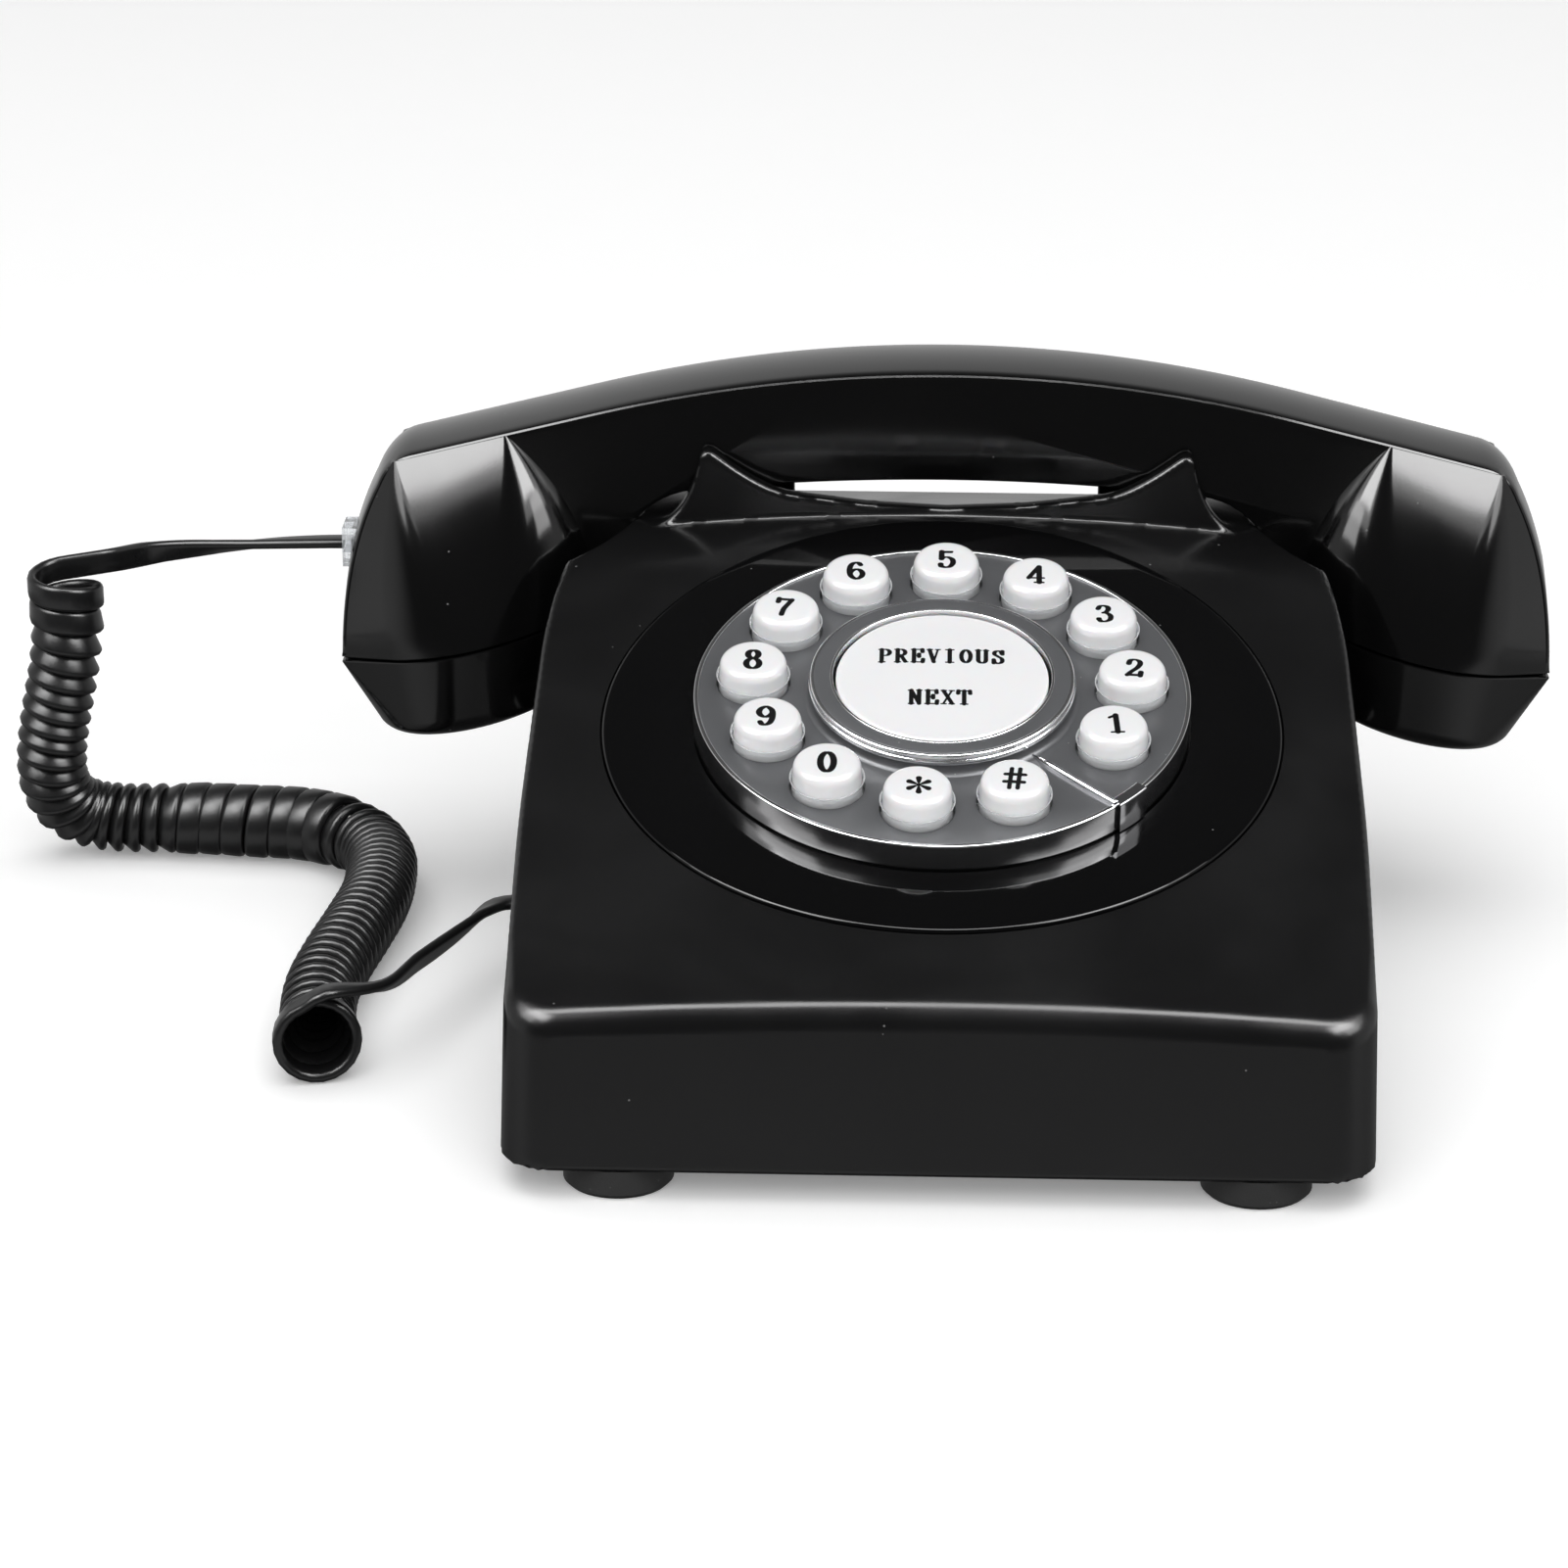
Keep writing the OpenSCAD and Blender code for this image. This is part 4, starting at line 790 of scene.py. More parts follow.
# %% Clip over the ring's rim
CLIP_IN = 41.5
CLIP_R = RING_R + 0.75
CLIP_LOW = RING_TOP + 0.02
CLIP_TOP = RING_TOP + 0.5
clip_rings = []
for angle in np.linspace(STOP_FROM, STOP_TO, 16):
    foot = PLINTH_TOP - (RING_R * math.cos(angle)) ** 2 / (2 * CROWN_R)
    profile = rounded([(CLIP_IN, CLIP_LOW, 0), (CLIP_IN, CLIP_TOP, 0.25), (CLIP_R, CLIP_TOP, 0.4),
                       (CLIP_R, foot, 0), (RING_R + 0.02, foot, 0), (RING_R + 0.02, CLIP_LOW, 0)])
    clip_rings.append(np.array([polar(r, angle, z) for r, z in profile]))
dial_piece("stop_clip", on_dial(stacked(clip_rings)), "base", "stop_chrome", ["finger_stop"], 40)

# %% [markdown]
# ### Keys and the centre rocker
# Each key is two pieces that move together: an opaque white cap, and a frosted cup that flares up
# round the cap's foot. The cap's top edge has a generous radius, which is what makes it glow.

# %% Key caps with a domed top
CUP_TOP = PLATE_Z + 2.0
CAP_LOW = CUP_TOP - 1.2
CAP_TOP = PLATE_Z + 5.5
CAP_R = 5.95
CAP_DOME = 0.2
STEM_R = 3
STEM_LOW = CAP_LOW - 2.4


def key_top(r):
    """Height of the slightly domed top of a key cap."""
    return CAP_TOP - CAP_DOME * (np.asarray(r) / CAP_R) ** 2


cap_profile = [(0, STEM_LOW), (STEM_R, STEM_LOW), (STEM_R, CAP_LOW)] + rounded(
    [(STEM_R, CAP_LOW, 0), (CAP_R - 0.05, CAP_LOW, 0.15), (CAP_R - 0.15, float(key_top(CAP_R)), 1.7),
     (STEM_R, float(key_top(STEM_R)), 0)], 8)[1:] + [(r, float(key_top(r))) for r in (2, 1, 0)]

# %% Frosted cups: a flange under the plate, a wall through the hole and a flared lip
CUP_FOOT_R = 6.05
CUP_RIM_R = 6.45
FLANGE_R = 7.4
FLANGE_LOW, FLANGE_HIGH = 2.3, 3.3
CUP_FLOOR = CAP_LOW - 0.02
# The flare starts above the key's travel, so that a pressed key stays clear of its hole
FLARE_FROM = CUP_TOP - 0.65
skirt_profile = [(0, 0.6), (STEM_R, 0.6), (STEM_R, FLANGE_LOW), (FLANGE_R, FLANGE_LOW),
                 (FLANGE_R, FLANGE_HIGH), (CUP_FOOT_R, FLANGE_HIGH), (CUP_FOOT_R, PLATE_Z)]
skirt_profile += rounded([
    (CUP_FOOT_R, PLATE_Z, 0), (CUP_FOOT_R + 0.12, FLARE_FROM, 0.3), (CUP_RIM_R, CUP_TOP, 0.12),
    (CUP_RIM_R - 0.2, CUP_TOP, 0.08), (CUP_FOOT_R + 0.02, FLARE_FROM, 0.2),
    (CUP_FOOT_R - 0.05, CUP_FLOOR, 0)])[1:]
skirt_profile += [(STEM_R, CUP_FLOOR), (STEM_R, CAP_LOW - 2.5), (0, CAP_LOW - 2.5)]
cap_shape = turned(cap_profile, 80)
skirt_shape = turned(skirt_profile, 80)
for name, spot in zip(KEY_NAMES, KEY_SPOTS):
    unit = f"key_{name}_unit"
    dial_piece(f"cap_{name}", on_dial(cap_shape, spot), unit, "key_white", [f"key_{name}"], 60)
    dial_piece(f"lip_{name}", on_dial(skirt_shape, spot), unit, "skirt_clear", [f"skirt_{name}"], 60)

# %% Centre rocker
ROCKER_R = 18.4
ROCKER_EDGE = HUB_Z - 0.3
ROCKER_RISE = 0.4
ROCKER_WALL_R = ROCKER_R - 2
ROCKER_LOW = PLATE_Z - 3
ROCKER_FLOOR = PLATE_Z + 0.4


def rocker_top(r):
    return ROCKER_EDGE + ROCKER_RISE * (1 - (np.asarray(r) / ROCKER_R) ** 2)


rocker = turned(
    [(0, ROCKER_FLOOR), (ROCKER_WALL_R, ROCKER_FLOOR), (ROCKER_WALL_R, ROCKER_LOW),
     (ROCKER_R, ROCKER_LOW)]
    + rounded([(ROCKER_R, ROCKER_LOW, 0), (ROCKER_R, ROCKER_EDGE + 0.1, 0.8),
               (ROCKER_WALL_R, float(rocker_top(ROCKER_WALL_R)), 0)], 6)[1:]
    + [(r, float(rocker_top(r))) for r in (14, 11, 8, 5, 2, 0)], 160)
dial_piece("rocker_disc", on_dial(rocker), "centre_rocker", "key_white", ["centre_button"], 60)

# %% [markdown]
# ## Handset
# Seen from the front the handset is a bow with two heads. Its handle is a bar with flat faces and
# crisp edges, and each head is a skin stretched from a round seam up to a small rectangle on top of
# the bar. The stretched skin is what gives every cone its one broad highlight, so it is built from
# rings: each ring is the outline that wraps a few discs, and the discs shrink towards the top.

# %% Front view of the handle
HEAD_X = 86.65
SEAM_TILT = math.radians(14)
SEAM_Z = 52.15
HEAD_R = 25.0
HALF_L = 112.8
BOW_TOP = 101.9
BOW_R = 260.0
BOW_X = BOW_R / 4
UNDER_R = 430.0
UNDER_Z = 81.9
HALF_D = 11.0


def bow_height(x):
    """Top of the handle: a round bow that runs out in straight ends."""
    x = abs(x)
    return BOW_TOP - (x * x / (2 * BOW_R) if x < BOW_X else BOW_X**2 / (2 * BOW_R) + (x - BOW_X) / 4)


END_X = HALF_L - 9.8
END_Z = bow_height(END_X)
BELT_TOP_POINTS = 40
belt = np.concatenate([
    [(x, bow_height(x)) for x in np.linspace(0, END_X - 4.5, BELT_TOP_POINTS)],
    curve((END_X - 4, bow_height(END_X - 4)), (END_X, END_Z), (END_X + 1.7, END_Z - 4.1), 8),
    curve((END_X + 1.9, END_Z - 4.6), (HALF_L - 0.9, 66), (HALF_L - 0.5, 46.0), 18)])
lower = np.concatenate([
    [(106, 48.1), (96, 53.5), (82, 60), (68, 60.2)],
    curve((62, 60.6), (59.6, 77.6), (46.5, 79.38), 12),
    [(x, UNDER_Z - x * x / (2 * UNDER_R)) for x in np.linspace(43, 0, 12)]])
right_half = np.concatenate([belt, lower])
outline = np.concatenate([right_half, right_half[-2:0:-1] * [-1, 1]])
print("handle outline", len(outline), "points")


# %% Handle: the front view swept from front to back, with soft edges and a crowned top
def swept_outline(outline, half_depth, soft, crown, crowned_points):
    """Rings from face to face: the end ones step inwards, and the middle ones rise to a crown."""
    nxt, prev = np.roll(outline, -1, axis=0), np.roll(outline, 1, axis=0)
    along = (nxt - prev) / np.linalg.norm(nxt - prev, axis=1)[:, None]
    inward = np.stack([along[:, 1], -along[:, 0]], axis=1)
    edge = ((0, 1), (0.13, 0.5), (0.5, 0.13))
    steps = [(half_depth - back * soft, inset * soft) for back, inset in edge]
    steps += [(half_depth - soft, 0)] + [(half_depth * k, 0) for k in (0.75, 0.5, 0.25, 0)]
    steps = steps + [(-y, inset) for y, inset in reversed(steps[:-1])]
    rings = []
    for y, inset in steps:
        lift = crown * (1 - (y / half_depth) ** 2) * crowned_points[:, None]
        ring = outline + inward * (inset - lift)
        rings.append(np.column_stack([ring[:, 0], np.full(len(ring), y), ring[:, 1]]))
    n = len(outline)
    ends = [tuple(range(n)), tuple((len(rings) - 1) * n + j for j in reversed(range(n)))]
    return np.concatenate(rings), skin(n, len(rings)) + ends


# Only the belt on top is crowned, and the crown fades out over a few points at its ends
FADE = 6
FADE_WIDTH = 9
BAR_EDGE = 0.7
BAR_CROWN = 1.0
place = np.arange(len(outline))
on_belt = ((place < len(belt) - FADE) | (place > len(outline) - len(belt) + FADE)).astype(float)
belt_loop = np.concatenate([on_belt[-FADE:], on_belt, on_belt[:FADE]])
fade = np.convolve(belt_loop, np.ones(FADE_WIDTH) / FADE_WIDTH, "same")[FADE:-FADE]
bar = swept_outline(outline, HALF_D, BAR_EDGE, BAR_CROWN, fade)
print("bar", len(bar[0]), "points")


# %% Outline that wraps a set of discs
FACING = np.radians(np.arange(0, 360, 2.0))
NORMALS = np.stack([np.cos(FACING), np.sin(FACING)], axis=1)


def wrapped(discs):
    """For each direction, the outermost point of the discs, given as (u, v, radius)."""
    discs = np.array(discs, float)
    support = NORMALS @ discs[:, :2].T + discs[:, 2]
    best = discs[support.argmax(axis=1)]
    return best[:, :2] + NORMALS * best[:, 2:]


def on_head(points, side):
    """From a head's tilted frame, with w up from the seam, to the handset."""
    u, v, w = np.asarray(points, float).T
    x = HEAD_X + u * math.cos(SEAM_TILT) + w * math.sin(SEAM_TILT)
    z = SEAM_Z - u * math.sin(SEAM_TILT) + w * math.cos(SEAM_TILT)
    return np.stack([side * x, HANDSET_Y + v, z], axis=1)


# %% Skin of a head, from the seam to the top of the bar
HEAD_H = 35.16
SEAM_END = 27.0
TOP_LEFT, TOP_RIGHT = -14.6, 7.0
CORNER_R = 0.5
OUTER_R = 0.5
END_GAP = 0.3
# The skin stays just inside the bar's flat faces
TUCK = 0.15
# It is a little full half way up, and its inner edge bows towards the middle
HEAD_SWELL = 2.4
INNER_BOW = 1.6


def end_reach(w):
    """How far the end of the bar stands out at a height above the seam."""
    us = (belt[:, 0] - HEAD_X) * math.cos(SEAM_TILT) - (belt[:, 1] - SEAM_Z) * math.sin(SEAM_TILT)
    ws = (belt[:, 0] - HEAD_X) * math.sin(SEAM_TILT) + (belt[:, 1] - SEAM_Z) * math.cos(SEAM_TILT)
    tail = slice(BELT_TOP_POINTS, None)
    return np.interp(w, ws[tail][::-1], us[tail][::-1])


def head_ring(w, inset=0.0):
    t = w / HEAD_H
    swell = HEAD_SWELL * 4 * t * (1 - t)
    hump = 4 * t * (1 - t)
    corners = ((TOP_LEFT + CORNER_R, CORNER_R, INNER_BOW), (TOP_RIGHT - OUTER_R, OUTER_R, 0.0))
    discs = [(t * u - bow * hump, t * v, HEAD_R * (1 - t) + corner * t + swell - inset)
             for u, corner, bow in corners
             for v in (HALF_D - TUCK - corner, corner + TUCK - HALF_D)]
    reach = min(end_reach(w), SEAM_END) - END_GAP - CORNER_R - inset
    discs += [(reach, side * (HALF_D - TUCK - CORNER_R), CORNER_R) for side in (-1, 1)]
    flat = wrapped(discs)
    return np.column_stack([flat, np.full(len(flat), w)])


# The first rings round the edge at the seam
SEAM_RINGS = [(0.0, 0.3), (0.1, 0.12), (0.3, 0.0)]
head_rings = [head_ring(w, inset) for w, inset in SEAM_RINGS]
head_rings += [head_ring(w) for w in np.linspace(1.2, HEAD_H - 0.4, 34)]
print("head rings", len(head_rings))


# %% Shell of the handset: bar and heads joined, then hollowed for what they hold
def head_solid(rings, side):
    points, faces = stacked(rings)
    return on_head(points, side), faces


def head_turned(profile, side, shift=0.0, steps=64):
    points, faces = turned(profile, steps)
    return on_head(points + [shift, 0, 0], side), faces


MOUTH_R, MOUTH_DEEP = 22, 3.5
CAVITY_R, CAVITY_DEEP = 15, 12.3
cavity_profile = [(0, -1), (MOUTH_R, -1), (MOUTH_R, MOUTH_DEEP), (CAVITY_R, MOUTH_DEEP),
                  (CAVITY_R, CAVITY_DEEP), (0, CAVITY_DEEP)]
WEIGHT_ROOM = 0.2
bar = (bar[0] + [0, HANDSET_Y, 0], bar[1])
steps = [("UNION", head_solid(head_rings, side)) for side in (-1, 1)]
steps += [("DIFFERENCE", head_turned(cavity_profile, side)) for side in (-1, 1)]
steps.append(("DIFFERENCE", opening_for("handset_socket", 0.05, (-10, 0, 0))))
low, high = [np.array(corner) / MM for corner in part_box("handset_weight")]
steps.append(("DIFFERENCE", boxed(low - WEIGHT_ROOM, high + WEIGHT_ROOM)))
shell_mesh = combined(bar, *steps)
dress_piece("handset_body", in_metres(shell_mesh), "handset", "handset_gloss", ["handset_shell"], 24)

# %% Outline of a cap, ring by ring
SEAM_GAP = 0.35
CAP_DEPTH = 17.2
CAP_FOOT_R = 20.0
CAP_EDGE = 4.0
CAP_SHIFT = 4.5
LEAN = math.radians(24.5)
FLANK_R = CAP_FOOT_R - CAP_EDGE + CAP_EDGE * math.cos(LEAN)
FLANK_W = -CAP_DEPTH + CAP_EDGE - CAP_EDGE * math.sin(LEAN)


def cap_ring(w, shrink=0.0):
    """An outline that goes from the head's seam to the round foot of the cap."""
    t = (w + SEAM_GAP) / (FLANK_W + SEAM_GAP)
    discs = [(CAP_SHIFT * t, 0, HEAD_R * (1 - t) + FLANK_R * t - shrink)]
    for side in (-1, 1):
        discs.append(((SEAM_END - END_GAP - CORNER_R) * (1 - t) + CAP_SHIFT * t,
                      side * (HALF_D - CORNER_R) * (1 - t), CORNER_R * (1 - t) + FLANK_R * t - shrink))
    flat = wrapped(discs)
    return np.column_stack([flat, np.full(len(flat), w)])


cap_rings = []
for angle in np.linspace(math.pi / 2, LEAN, 9)[:-1]:
    flat = wrapped([(CAP_SHIFT, 0, CAP_FOOT_R - CAP_EDGE + CAP_EDGE * math.cos(angle))])
    down = -CAP_DEPTH + CAP_EDGE - CAP_EDGE * math.sin(angle)
    cap_rings.append(np.column_stack([flat, np.full(len(flat), down)]))
cap_rings += [cap_ring(w) for w in np.linspace(FLANK_W, -SEAM_GAP - 0.3, 12)]
cap_rings += [cap_ring(-SEAM_GAP - 0.1, 0.12), cap_ring(-SEAM_GAP, 0.35)]
print("cap rings", len(cap_rings))

# %% Caps: a spigot into the head, a room for the capsule, and holes for the sound
SPIGOT_R, SPIGOT_TOP = 21.9, 2.6
ROOM_R, ROOM_LOW = 16.3, 2.5 - CAP_DEPTH
ROOM_MOUTH_R, ROOM_STEP = 20, -4
ROOM_SHIFT = 2.0
SOUND_R = 0.9
spigot = [(0, -2), (SPIGOT_R, -2), (SPIGOT_R, SPIGOT_TOP), (0, SPIGOT_TOP)]
room = [(0, ROOM_LOW), (ROOM_R, ROOM_LOW), (ROOM_R, ROOM_STEP), (ROOM_MOUTH_R, ROOM_STEP),
        (ROOM_MOUTH_R, 3), (0, 3)]
SOUND_LOW, SOUND_TOP = -CAP_DEPTH - 1, 3.5 - CAP_DEPTH
sound_hole = [(0, SOUND_LOW), (SOUND_R, SOUND_LOW), (SOUND_R, SOUND_TOP), (0, SOUND_TOP)]
# Each ring of holes is a radius and a count
HOLES = {-1: [(0, 1), (5, 6)], 1: [(0, 1), (4, 6), (8, 12)]}
for name, side, node in (("mouth_end", -1, "mouth_cap"), ("ear_end", 1, "ear_cap")):
    steps = [("UNION", head_turned(spigot, side)), ("DIFFERENCE", head_turned(room, side, ROOM_SHIFT))]
    for ring_r, count_round in HOLES[side]:
        for k in range(count_round):
            points, faces = turned(sound_hole, 16)
            round_by = 2 * math.pi * k / count_round
            spot = (CAP_SHIFT + ring_r * math.cos(round_by), ring_r * math.sin(round_by), 0)
            steps.append(("DIFFERENCE", (on_head(points + spot, side), faces)))
    cap_mesh = combined(head_solid(cap_rings, side), *steps)
    dress_piece(name, in_metres(cap_mesh), "handset", "handset_gloss", [node], 24)

# %% [markdown]
# ## Plugs
# Both ends of the cord carry a small clear modular plug. Only its back stands out of the jack: a
# block with two grooves on each side for the fingers, and a flat opening where the ribbon enters.

# %% Clear plugs
GROOVES_X = (0.7, 1.9)
GROOVE_Y = 3.8
GROOVE_HALF = np.array([0.3, 0.4, 3])
ENTRY_DEEP = 1.6
ENTRY_HALF = (2.5, 1.2)
for name, node in (("plug_top", "cord_plug_handset"), ("plug_side", "cord_plug_base")):
    low, high = [np.array(corner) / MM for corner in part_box(node)]
    middle = (low + high) / 2
    steps = []
    for x in GROOVES_X:
        for side in (-1, 1):
            spot = np.array([low[0] + x, middle[1] + side * GROOVE_Y, middle[2]])
            steps.append(("DIFFERENCE", boxed(spot - GROOVE_HALF, spot + GROOVE_HALF)))
    entry = np.array([low[0], middle[1], middle[2]])
    steps.append(("DIFFERENCE", boxed(entry - [1, *ENTRY_HALF], entry + [ENTRY_DEEP, *ENTRY_HALF])))
    body = "handset" if name == "plug_top" else "base"
    mesh = combined(boxed(low, high), *steps)
    dress_piece(name, in_metres(mesh), body, "plug_clear", [node], 30)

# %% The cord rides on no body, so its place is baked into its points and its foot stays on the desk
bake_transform(cord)

# %% [markdown]
# ## Printed figures
# The figures on the keys are printed in black with a typewriter's serifs: upright strokes are
# thick and level ones thin, as a broad pen writes them. So a figure is a list of pen paths. The
# same distance rule as for the housing joins the strokes, and the print follows the dome below.

# %% Pen paths
THICK = 0.2
THIN = 0.085
PATH_STEP = 0.04
# A figure is one unit high, and this is its middle
MID_X, MID_Y = 0.31, 0.5


def loop(cx, cy, rx, ry, start=0, end=360, n=28):
    a = np.radians(np.linspace(start, end, n))
    return np.stack([cx + rx * np.cos(a), cy + ry * np.sin(a)], axis=1)


def pen(*numbers):
    """A straight stroke, or several joined ones, given as x, y, x, y and so on."""
    return np.array(numbers, float).reshape(-1, 2)


def bent(*numbers):
    """A smooth pen path through a few points, given in the same way."""
    return smooth_line(pen(*numbers), PATH_STEP)[0]


SIX = [bent(0.47, 0.83, 0.41, 0.93, 0.30, 0.96, 0.16, 0.84, 0.09, 0.55, 0.12, 0.22, 0.29, 0.04,
            0.46, 0.14, 0.52, 0.33, 0.45, 0.50, 0.31, 0.57, 0.17, 0.48, 0.10, 0.36)]
STAR_ARM = 0.37
STAR_TURNS = np.radians(range(30, 390, 60))
FIGURES = {
    "1": [pen(0.34, 0.03, 0.34, 0.97), pen(0.34, 0.96, 0.12, 0.84), pen(0.13, 0.03, 0.55, 0.03)],
    "2": [bent(0.12, 0.72, 0.16, 0.89, 0.31, 0.96, 0.47, 0.88, 0.51, 0.72, 0.42, 0.50, 0.22, 0.25,
               0.09, 0.07),
          pen(0.08, 0.06, 0.55, 0.06), pen(0.08, 0.10, 0.53, 0.10), pen(0.54, 0.06, 0.56, 0.24)],
    "3": [bent(0.12, 0.79, 0.19, 0.92, 0.32, 0.96, 0.46, 0.87, 0.47, 0.72, 0.38, 0.58, 0.26, 0.54),
          bent(0.26, 0.54, 0.42, 0.50, 0.53, 0.35, 0.50, 0.15, 0.34, 0.04, 0.18, 0.06, 0.10, 0.19)],
    "4": [pen(0.42, 0.03, 0.42, 0.97), pen(0.41, 0.96, 0.05, 0.30), pen(0.04, 0.29, 0.59, 0.29),
          pen(0.26, 0.03, 0.57, 0.03)],
    "5": [pen(0.16, 0.94, 0.52, 0.94), pen(0.16, 0.89, 0.50, 0.89), pen(0.16, 0.94, 0.14, 0.52),
          bent(0.14, 0.52, 0.24, 0.60, 0.38, 0.59, 0.51, 0.46, 0.52, 0.26, 0.42, 0.08, 0.26, 0.03,
               0.12, 0.10, 0.10, 0.20)],
    "6": SIX,
    "7": [pen(0.09, 0.95, 0.56, 0.95), pen(0.09, 0.90, 0.56, 0.90), pen(0.09, 0.95, 0.08, 0.76),
          bent(0.55, 0.92, 0.44, 0.65, 0.33, 0.36, 0.29, 0.04)],
    "8": [loop(0.31, 0.75, 0.16, 0.20), loop(0.31, 0.28, 0.20, 0.24)],
    "9": [np.array([2 * MID_X, 2 * MID_Y]) - SIX[0]],
    "0": [loop(0.31, 0.5, 0.20, 0.45)],
    "star": [pen(MID_X, MID_Y, MID_X + STAR_ARM * math.cos(a), MID_Y + STAR_ARM * math.sin(a))
             for a in STAR_TURNS],
    "hash": [pen(0.17, 0.05, 0.21, 0.95), pen(0.41, 0.05, 0.45, 0.95), pen(0.02, 0.33, 0.58, 0.33),
             pen(0.04, 0.67, 0.60, 0.67)],
    "P": [pen(0.16, 0.03, 0.16, 0.97), pen(0.04, 0.97, 0.34, 0.97), pen(0.04, 0.03, 0.30, 0.03),
          loop(0.30, 0.74, 0.21, 0.23, -90, 90), pen(0.16, 0.51, 0.30, 0.51)],
    "R": [pen(0.15, 0.03, 0.15, 0.97), pen(0.03, 0.97, 0.32, 0.97), pen(0.03, 0.03, 0.27, 0.03),
          loop(0.28, 0.74, 0.20, 0.23, -90, 90), pen(0.15, 0.51, 0.28, 0.51),
          pen(0.30, 0.51, 0.49, 0.05), pen(0.46, 0.03, 0.59, 0.03)],
    "E": [pen(0.16, 0.03, 0.16, 0.97), pen(0.04, 0.97, 0.52, 0.97), pen(0.04, 0.03, 0.54, 0.03),
          pen(0.16, 0.52, 0.38, 0.52), pen(0.52, 0.97, 0.53, 0.78), pen(0.54, 0.03, 0.56, 0.24),
          pen(0.38, 0.62, 0.38, 0.42)],
    "V": [pen(0.13, 0.95, 0.32, 0.04), pen(0.32, 0.04, 0.49, 0.95), pen(0.03, 0.97, 0.25, 0.97),
          pen(0.40, 0.97, 0.59, 0.97)],
    "I": [pen(0.31, 0.03, 0.31, 0.97), pen(0.14, 0.97, 0.48, 0.97), pen(0.14, 0.03, 0.48, 0.03)],
    "O": [loop(0.31, 0.5, 0.20, 0.46)],
    "U": [pen(0.14, 0.97, 0.14, 0.26), loop(0.31, 0.26, 0.17, 0.23, 180, 360),
          pen(0.48, 0.26, 0.48, 0.97), pen(0.03, 0.97, 0.26, 0.97), pen(0.38, 0.97, 0.59, 0.97)],
    "S": [bent(0.47, 0.74, 0.42, 0.90, 0.29, 0.96, 0.16, 0.87, 0.15, 0.70, 0.30, 0.54, 0.45, 0.40,
               0.49, 0.22, 0.42, 0.08, 0.28, 0.03, 0.15, 0.12, 0.12, 0.28),
          pen(0.49, 0.95, 0.49, 0.72), pen(0.11, 0.05, 0.11, 0.30)],
    "N": [pen(0.14, 0.03, 0.14, 0.97), pen(0.14, 0.96, 0.48, 0.06), pen(0.48, 0.03, 0.48, 0.97),
          pen(0.02, 0.97, 0.18, 0.97), pen(0.38, 0.97, 0.59, 0.97), pen(0.03, 0.03, 0.25, 0.03)],
    "X": [pen(0.12, 0.95, 0.50, 0.05), pen(0.48, 0.95, 0.12, 0.05), pen(0.03, 0.97, 0.24, 0.97),
          pen(0.38, 0.97, 0.58, 0.97), pen(0.03, 0.03, 0.23, 0.03), pen(0.37, 0.03, 0.59, 0.03)],
    "T": [pen(0.31, 0.03, 0.31, 0.97), pen(0.06, 0.97, 0.56, 0.97), pen(0.16, 0.03, 0.46, 0.03),
          pen(0.06, 0.97, 0.05, 0.78), pen(0.56, 0.97, 0.57, 0.78)],
}
# Balls of ink at the ends of some strokes, as x, y and radius
BALLS = {"2": [(0.15, 0.73, 0.075)], "3": [(0.15, 0.79, 0.075), (0.14, 0.20, 0.075)],
         "5": [(0.14, 0.20, 0.07)], "6": [(0.45, 0.83, 0.07)], "9": [(0.17, 0.17, 0.07)]}
# The arms of the star swell towards their ends
BALLS["star"] = [
    (MID_X + STAR_ARM * k * math.cos(a), MID_Y + STAR_ARM * k * math.sin(a), 0.03 + 0.075 * k)
    for a in STAR_TURNS for k in (0.4, 0.55, 0.7, 0.85, 1.0)]
EVEN_PEN = {"star": 0.07, "hash": 0.13}
# A slanting stroke that rises to the right is thin
RISING_PEN = 0.1
print("figures and letters", len(FIGURES))


# %% Print: strokes joined by distance and laid on a domed surface
def figure_rule(name):
    """Distance to the figure's ink, in units of its height."""
    starts, ends, widths = [], [], []
    for path in FIGURES[name]:
        way = np.diff(path, axis=0)
        length = np.linalg.norm(way, axis=1)
        upright_share = np.abs(way[:, 1]) / np.maximum(length, 1e-9)
        width = EVEN_PEN.get(name) or THIN + (THICK - THIN) * upright_share**1.5
        rising = len(path) == 2 and way[0, 0] * way[0, 1] > 0
        if name in "VXN" and rising:
            width = RISING_PEN
        starts.append(path[:-1])
        ends.append(path[1:])
        widths.append(np.broadcast_to(width, len(way)))
    starts, ends, widths = np.concatenate(starts), np.concatenate(ends), np.concatenate(widths)

    def rule(x, y):
        x, y = np.broadcast_arrays(x, y)
        near = np.full(x.shape, 9.0)
        for (ax, ay), (bx, by), width in zip(starts, ends, widths):
            ex, ey = bx - ax, by - ay
            t = np.clip(((x - ax) * ex + (y - ay) * ey) / (ex * ex + ey * ey + 1e-9), 0, 1)
            near = np.minimum(near, np.hypot(x - ax - t * ex, y - ay - t * ey) - width / 2)
        for bx, by, r in BALLS.get(name, ()):
            near = np.minimum(near, np.hypot(x - bx, y - by) - r)
        return near
    return rule


INK = 0.04
PRINT_STEP = 0.07
PRINT_HALF_T = 0.09
PRINT_NET_Z = 0.21


